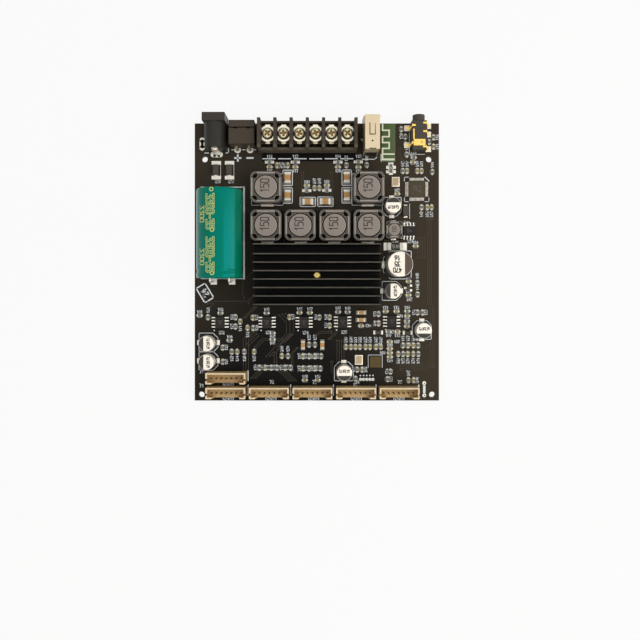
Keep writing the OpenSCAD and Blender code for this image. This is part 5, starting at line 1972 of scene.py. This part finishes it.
    def clipped_square(self, base: Span) -> None:
        """Square round a capacitor base, clipped away from its mark and open at both terminals.

        Args:
            base: Box of the base.
        """
        side = (base.centre - base.mean).normalized()
        across = Vector((-side.y, side.x, 0))
        half = base.size.x / 2 + self.base_grow
        clip, gate = half * self.base_clip, self.base_gate
        for way in (-1, 1):
            corners = ((half, gate), (half, half), (clip - half, half), (-half, half - clip), (-half, gate))
            points = [base.centre + side * along + across * way * out for along, out in corners]
            self.stroke(*[(point.x, point.y) for point in points], width=self.base_line)

    def chip_outlines(self) -> None:
        """Outlines round the chips and lines beside the power diodes."""
        radio = span("radio_chip_leads")
        x, y = radio.spot
        half = radio.size.x / 2 + self.radio_grow
        start = half - self.radio_corner
        for sx, sy in ((-1, -1), (1, -1), (-1, 1)):
            corner = (x + sx * half, y + sy * half)
            self.stroke((x + sx * start, corner[1]), corner, (corner[0], y + sy * start))
        self.stroke((x + start, y + half), (x + half, y + start), width=self.radio_key)
        for chip in islands("op_amp_chips"):
            for points in UPRIGHT_CHIP if chip.upright else LYING_CHIP:
                self.beside_box(chip, self.chip_line, points)
            dot = (chip.low.x - self.chip_dot_out[0], chip.low.y - self.chip_dot_out[1], 0.0)
            self.ink.disc(self.chip_dot_r, dot, self.ink_t, self.dot_sides)
        for body in islands("small_semiconductors"):
            if body.size.z > self.power_h:
                self.beside_box(body, self.diode_line, DIODE_LINE)

    def ceramic_frames(self) -> None:
        """Frames round the large ceramic capacitors, the pads of all and the soldered ends of the large ones.
        """
        slopes, ends = Shape(), Shape()
        for body in islands("ceramic_capacitors"):
            large = max(body.size.x, body.size.y) > self.ceramic_large
            stands = ChipParts.stands(body)
            along = Vector(swapped((1, 0), stands))
            slope = self.large_slope if large else self.small_slope
            reach = self.large_reach if large else self.small_reach
            for side in (-1, 1):
                spot = Vector(body.spot) + along * side * reach
                slopes.plate(swapped(slope, not stands), tuple(spot), self.slope_t)
                if large:
                    spot = Vector(body.spot) + along * side * self.end_reach
                    ends.plate(swapped(self.end_size, not stands), tuple(spot), body.high.z * self.end_rise)
            if large:
                size = swapped(self.ceramic_box, not stands)
                self.ink.frame(body.spot, size, self.ceramic_line, 0.0, self.ink_t)
        slopes.piece("ceramic_pads", FILLET)
        ends.piece("ceramic_ends", PAD)

    def part_numbers(self) -> None:
        """A number beside every chip part, on the side where there is room."""
        value = self.first_number
        for node in ("chip_resistors", "chip_capacitors"):
            for body in islands(node):
                self.beside(body, str(value))
                value += 1
        for node, front in self.front_numbers:
            for body in islands(node):
                self.number(str(value), (body.centre.x + self.front_shift, body.centre.y - front))
                value += 1

    def beside(self, body: Span, value: str) -> None:
        """Number of one chip part and the thin lines along its sides.

        Args:
            body: Box of its body.
            value: The number.
        """
        c = body.centre
        stands = ChipParts.stands(body)
        far = self.far_rows[0] < c.y < self.far_rows[1]
        reach = self.standing_reach if stands else self.far_reach if far else self.lying_reach
        way_x, way_y = self.free_side(c).value
        self.number(value, (c.x + way_x * reach[0], c.y + way_y * reach[1]), 90 if stands else 0)
        along = Vector(swapped((self.side_half, 0), stands))
        across = Vector(swapped((0, self.side_gap), stands))
        for way in (-1, 1):
            middle = Vector(body.spot) + across * way
            self.stroke(tuple(middle - along), tuple(middle + along), width=self.side_line)

    @staticmethod
    def free_side(place: Vector) -> Side:
        """Side of a place that takes the number.

        Args:
            place: Middle of the part.

        Returns:
            The side, which is the rear where no region holds the place.
        """
        for left, right, front, rear, side in FREE_SIDES:
            if left <= place.x <= right and front <= place.y <= rear:
                return side
        return Side.REAR

    def header_numbers(self) -> None:
        """Numbers in front of and behind the wiring headers, and a line at their side."""
        housings = islands("signal_header_housings")
        front_row = min(housing.centre.y for housing in housings)
        for index, housing in enumerate(housings):
            c = housing.centre
            ways = (c.x + self.way_shift[0], housing.low.y + self.way_shift[1])
            self.number(self.way_text, ways, tall=self.way_tall)
            self.beside_box(housing, self.header_line, HEADER_LINE)
            spot = (c.x + self.header_shift[0], housing.high.y + self.header_shift[1])
            if c.x < self.left_header:
                spot = self.left_spots[0 if c.y > front_row + 1 else 1]
            self.number(str(self.header_first + index), spot, tall=self.header_tall)

    def tilted_box(self) -> None:
        """Plain tilted box with a number beside the reservoir capacitor."""
        centre, half = Vector(self.box_at), self.box_half
        spin = Matrix.Rotation(math.radians(self.box_turn), 2)
        corners = [tuple(centre + spin @ Vector((sx * half[0], sy * half[1]))) for sx, sy in CORNERS]
        self.stroke(*corners, width=self.box_line, closed=True)
        turn = self.box_turn + 90
        self.ink.digits(self.box_text, self.box_at, self.box_tall, turn, 0.0, self.ink_t, self.box_bold)

    def test_points(self) -> Shape:
        """Row of test holes with a dot behind each, and two probe holes with a bar between.

        Returns:
            The pads round the holes.
        """
        pads = Shape()
        for hole in range(self.test_holes):
            x = self.test_first[0] + self.test_pitch * hole
            pads.ring(*self.test_ring, (x, self.test_first[1], 0.0), self.pad_t, self.pad_sides)
            self.ink.disc(self.test_dot_r, (x, self.test_dot_y, 0.0), self.ink_t, self.dot_sides)
        for y in self.probes:
            pads.ring(*self.probe_ring, (self.probe_x, y, 0.0), self.pad_t, self.pad_sides)
        start, end = self.probe_bar
        self.stroke((self.probe_x, start), (self.probe_x, end), width=self.probe_bar_w)
        return pads


Lamp = tuple[str, Triple, Point, float]


@dataclass
class Studio(Assembly):
    """Pale floor, soft lamps and the camera."""

    camera_mm: Triple = (0.5, -10.2, 259.0)
    lens: float = 35.72
    sensor: float = 36.0
    shift: Point = (0.003, -0.0516)
    clip_start: float = 0.01
    floor_w: float = 6.0
    floor_colour: Colour = (236, 236, 234)
    paper_mm: float = 40.0
    paper_dip: float = 0.97
    paper_rough: float = 0.9
    backdrop_share: float = 0.88
    ambient: float = 0.35
    air: tuple[float, float, float, float] = (1.0, 0.985, 0.96, 1.0)
    # Name, place in metres, size in metres and power in watts
    lamps: tuple[Lamp, ...] = (
        ("overhead", (-0.05, 0.1, 1.0), (1.3, 1.3), 3.3),
        ("key", (0.5, -0.4, 0.65), (0.6, 0.6), 2.5),
        ("strip", (0.75, 0.05, 0.5), (0.2, 1.0), 2.0),
    )

    def build(self) -> None:
        """Make the stage."""
        self.floor()
        self.world()
        for lamp in self.lamps:
            self.lamp(*lamp)
        self.camera()

    @staticmethod
    def seen(graph: Graph) -> Wire:
        """Whether a ray comes from the camera, a mirror or glass.

        Args:
            graph: Tree of the floor or the world.

        Returns:
            One for such rays, else nothing.
        """
        path = graph.node("ShaderNodeLightPath", {}, {})
        camera, mirror, glass = (
            Wire(graph, path.outputs[f"Is {kind} Ray"]) for kind in ("Camera", "Glossy", "Transmission")
        )
        return (camera + mirror + glass).clamped()

    def floor(self) -> None:
        """Pale floor that looks white to the camera and keeps a soft shadow."""
        graph = Graph("studio floor")
        grain = graph.noise(self.paper_mm)
        paper = graph.blend(grain, linear(self.floor_colour, self.paper_dip), linear(self.floor_colour))
        settings = {"Base Color": paper, "Roughness": self.paper_rough}
        matt = graph.wire("ShaderNodeBsdfPrincipled", {}, settings)
        glow = graph.wire("ShaderNodeEmission", {}, {"Color": (1, 1, 1, 1), "Strength": 1.0})
        share = self.seen(graph) * self.backdrop_share
        mixed = graph.wire("ShaderNodeMixShader", {}, {0: share, 1: matt, 2: glow})
        shape = bmesh.new()
        bmesh.ops.create_grid(shape, x_segments=1, y_segments=1, size=self.floor_w / 2)
        mesh = bpy.data.meshes.new("floor")
        shape.to_mesh(mesh)
        shape.free()
        mesh.materials.append(graph.finish(mixed))
        floor = bpy.data.objects.new("floor", mesh)
        bpy.context.scene.collection.objects.link(floor)

    def world(self) -> None:
        """Even surroundings that metal sees as white."""
        world = bpy.data.worlds.new("studio")
        bpy.context.scene.world = world
        world.use_nodes = True
        graph = Graph.of_tree(world.node_tree)
        air = graph.wire("ShaderNodeBackground", {}, {"Color": self.air, "Strength": self.ambient})
        white = graph.wire("ShaderNodeBackground", {}, {"Color": self.air, "Strength": 1.0})
        mixed = graph.wire("ShaderNodeMixShader", {}, {0: self.seen(graph), 1: air, 2: white})
        graph.node("ShaderNodeOutputWorld", {}, {"Surface": mixed})

    def lamp(self, name: str, place: Triple, size: Point, watts: float) -> None:
        """Soft rectangular lamp aimed at the board.

        Args:
            name: Name of the lamp.
            place: Its place in metres.
            size: Edges of the rectangle.
            watts: Power.
        """
        data = bpy.data.lights.new(name, "AREA")
        data.shape = "RECTANGLE"
        data.size, data.size_y = size
        data.energy = watts
        lamp = bpy.data.objects.new(name, data)
        lamp.location = place
        aim = BOARD.origin - Vector(place)
        lamp.rotation_euler = aim.to_track_quat("-Z", "Y").to_euler()
        bpy.context.scene.collection.objects.link(lamp)

    def camera(self) -> None:
        """Camera straight above, as in the photograph."""
        data = bpy.data.cameras.new("camera")
        data.lens = self.lens
        data.sensor_width = self.sensor
        data.shift_x, data.shift_y = self.shift
        data.clip_start = self.clip_start
        data.dof.use_dof = False
        camera = bpy.data.objects.new("camera", data)
        camera.location = BOARD.to_metres @ Vector(self.camera_mm)
        bpy.context.scene.collection.objects.link(camera)
        bpy.context.scene.camera = camera
        bpy.context.scene.view_settings.view_transform = "Standard"


def main() -> None:
    """Build every sub-assembly in order."""
    logging.basicConfig(level=logging.INFO, format="%(name)s: %(message)s")
    assemblies: list[Assembly] = [
        CircuitBoard(), Heatsink(), PowerInputs(), TerminalBlock(), SignalPorts(), Reservoir(), Inductors(),
        Electrolytics(), SignalHeaders(), Chips(), ChipParts(), Legend(), Studio(),
    ]
    for assembly in assemblies:
        LOG.info("building %s", type(assembly).__name__)
        assembly.build()
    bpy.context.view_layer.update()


if __name__ == "__main__":
    main()
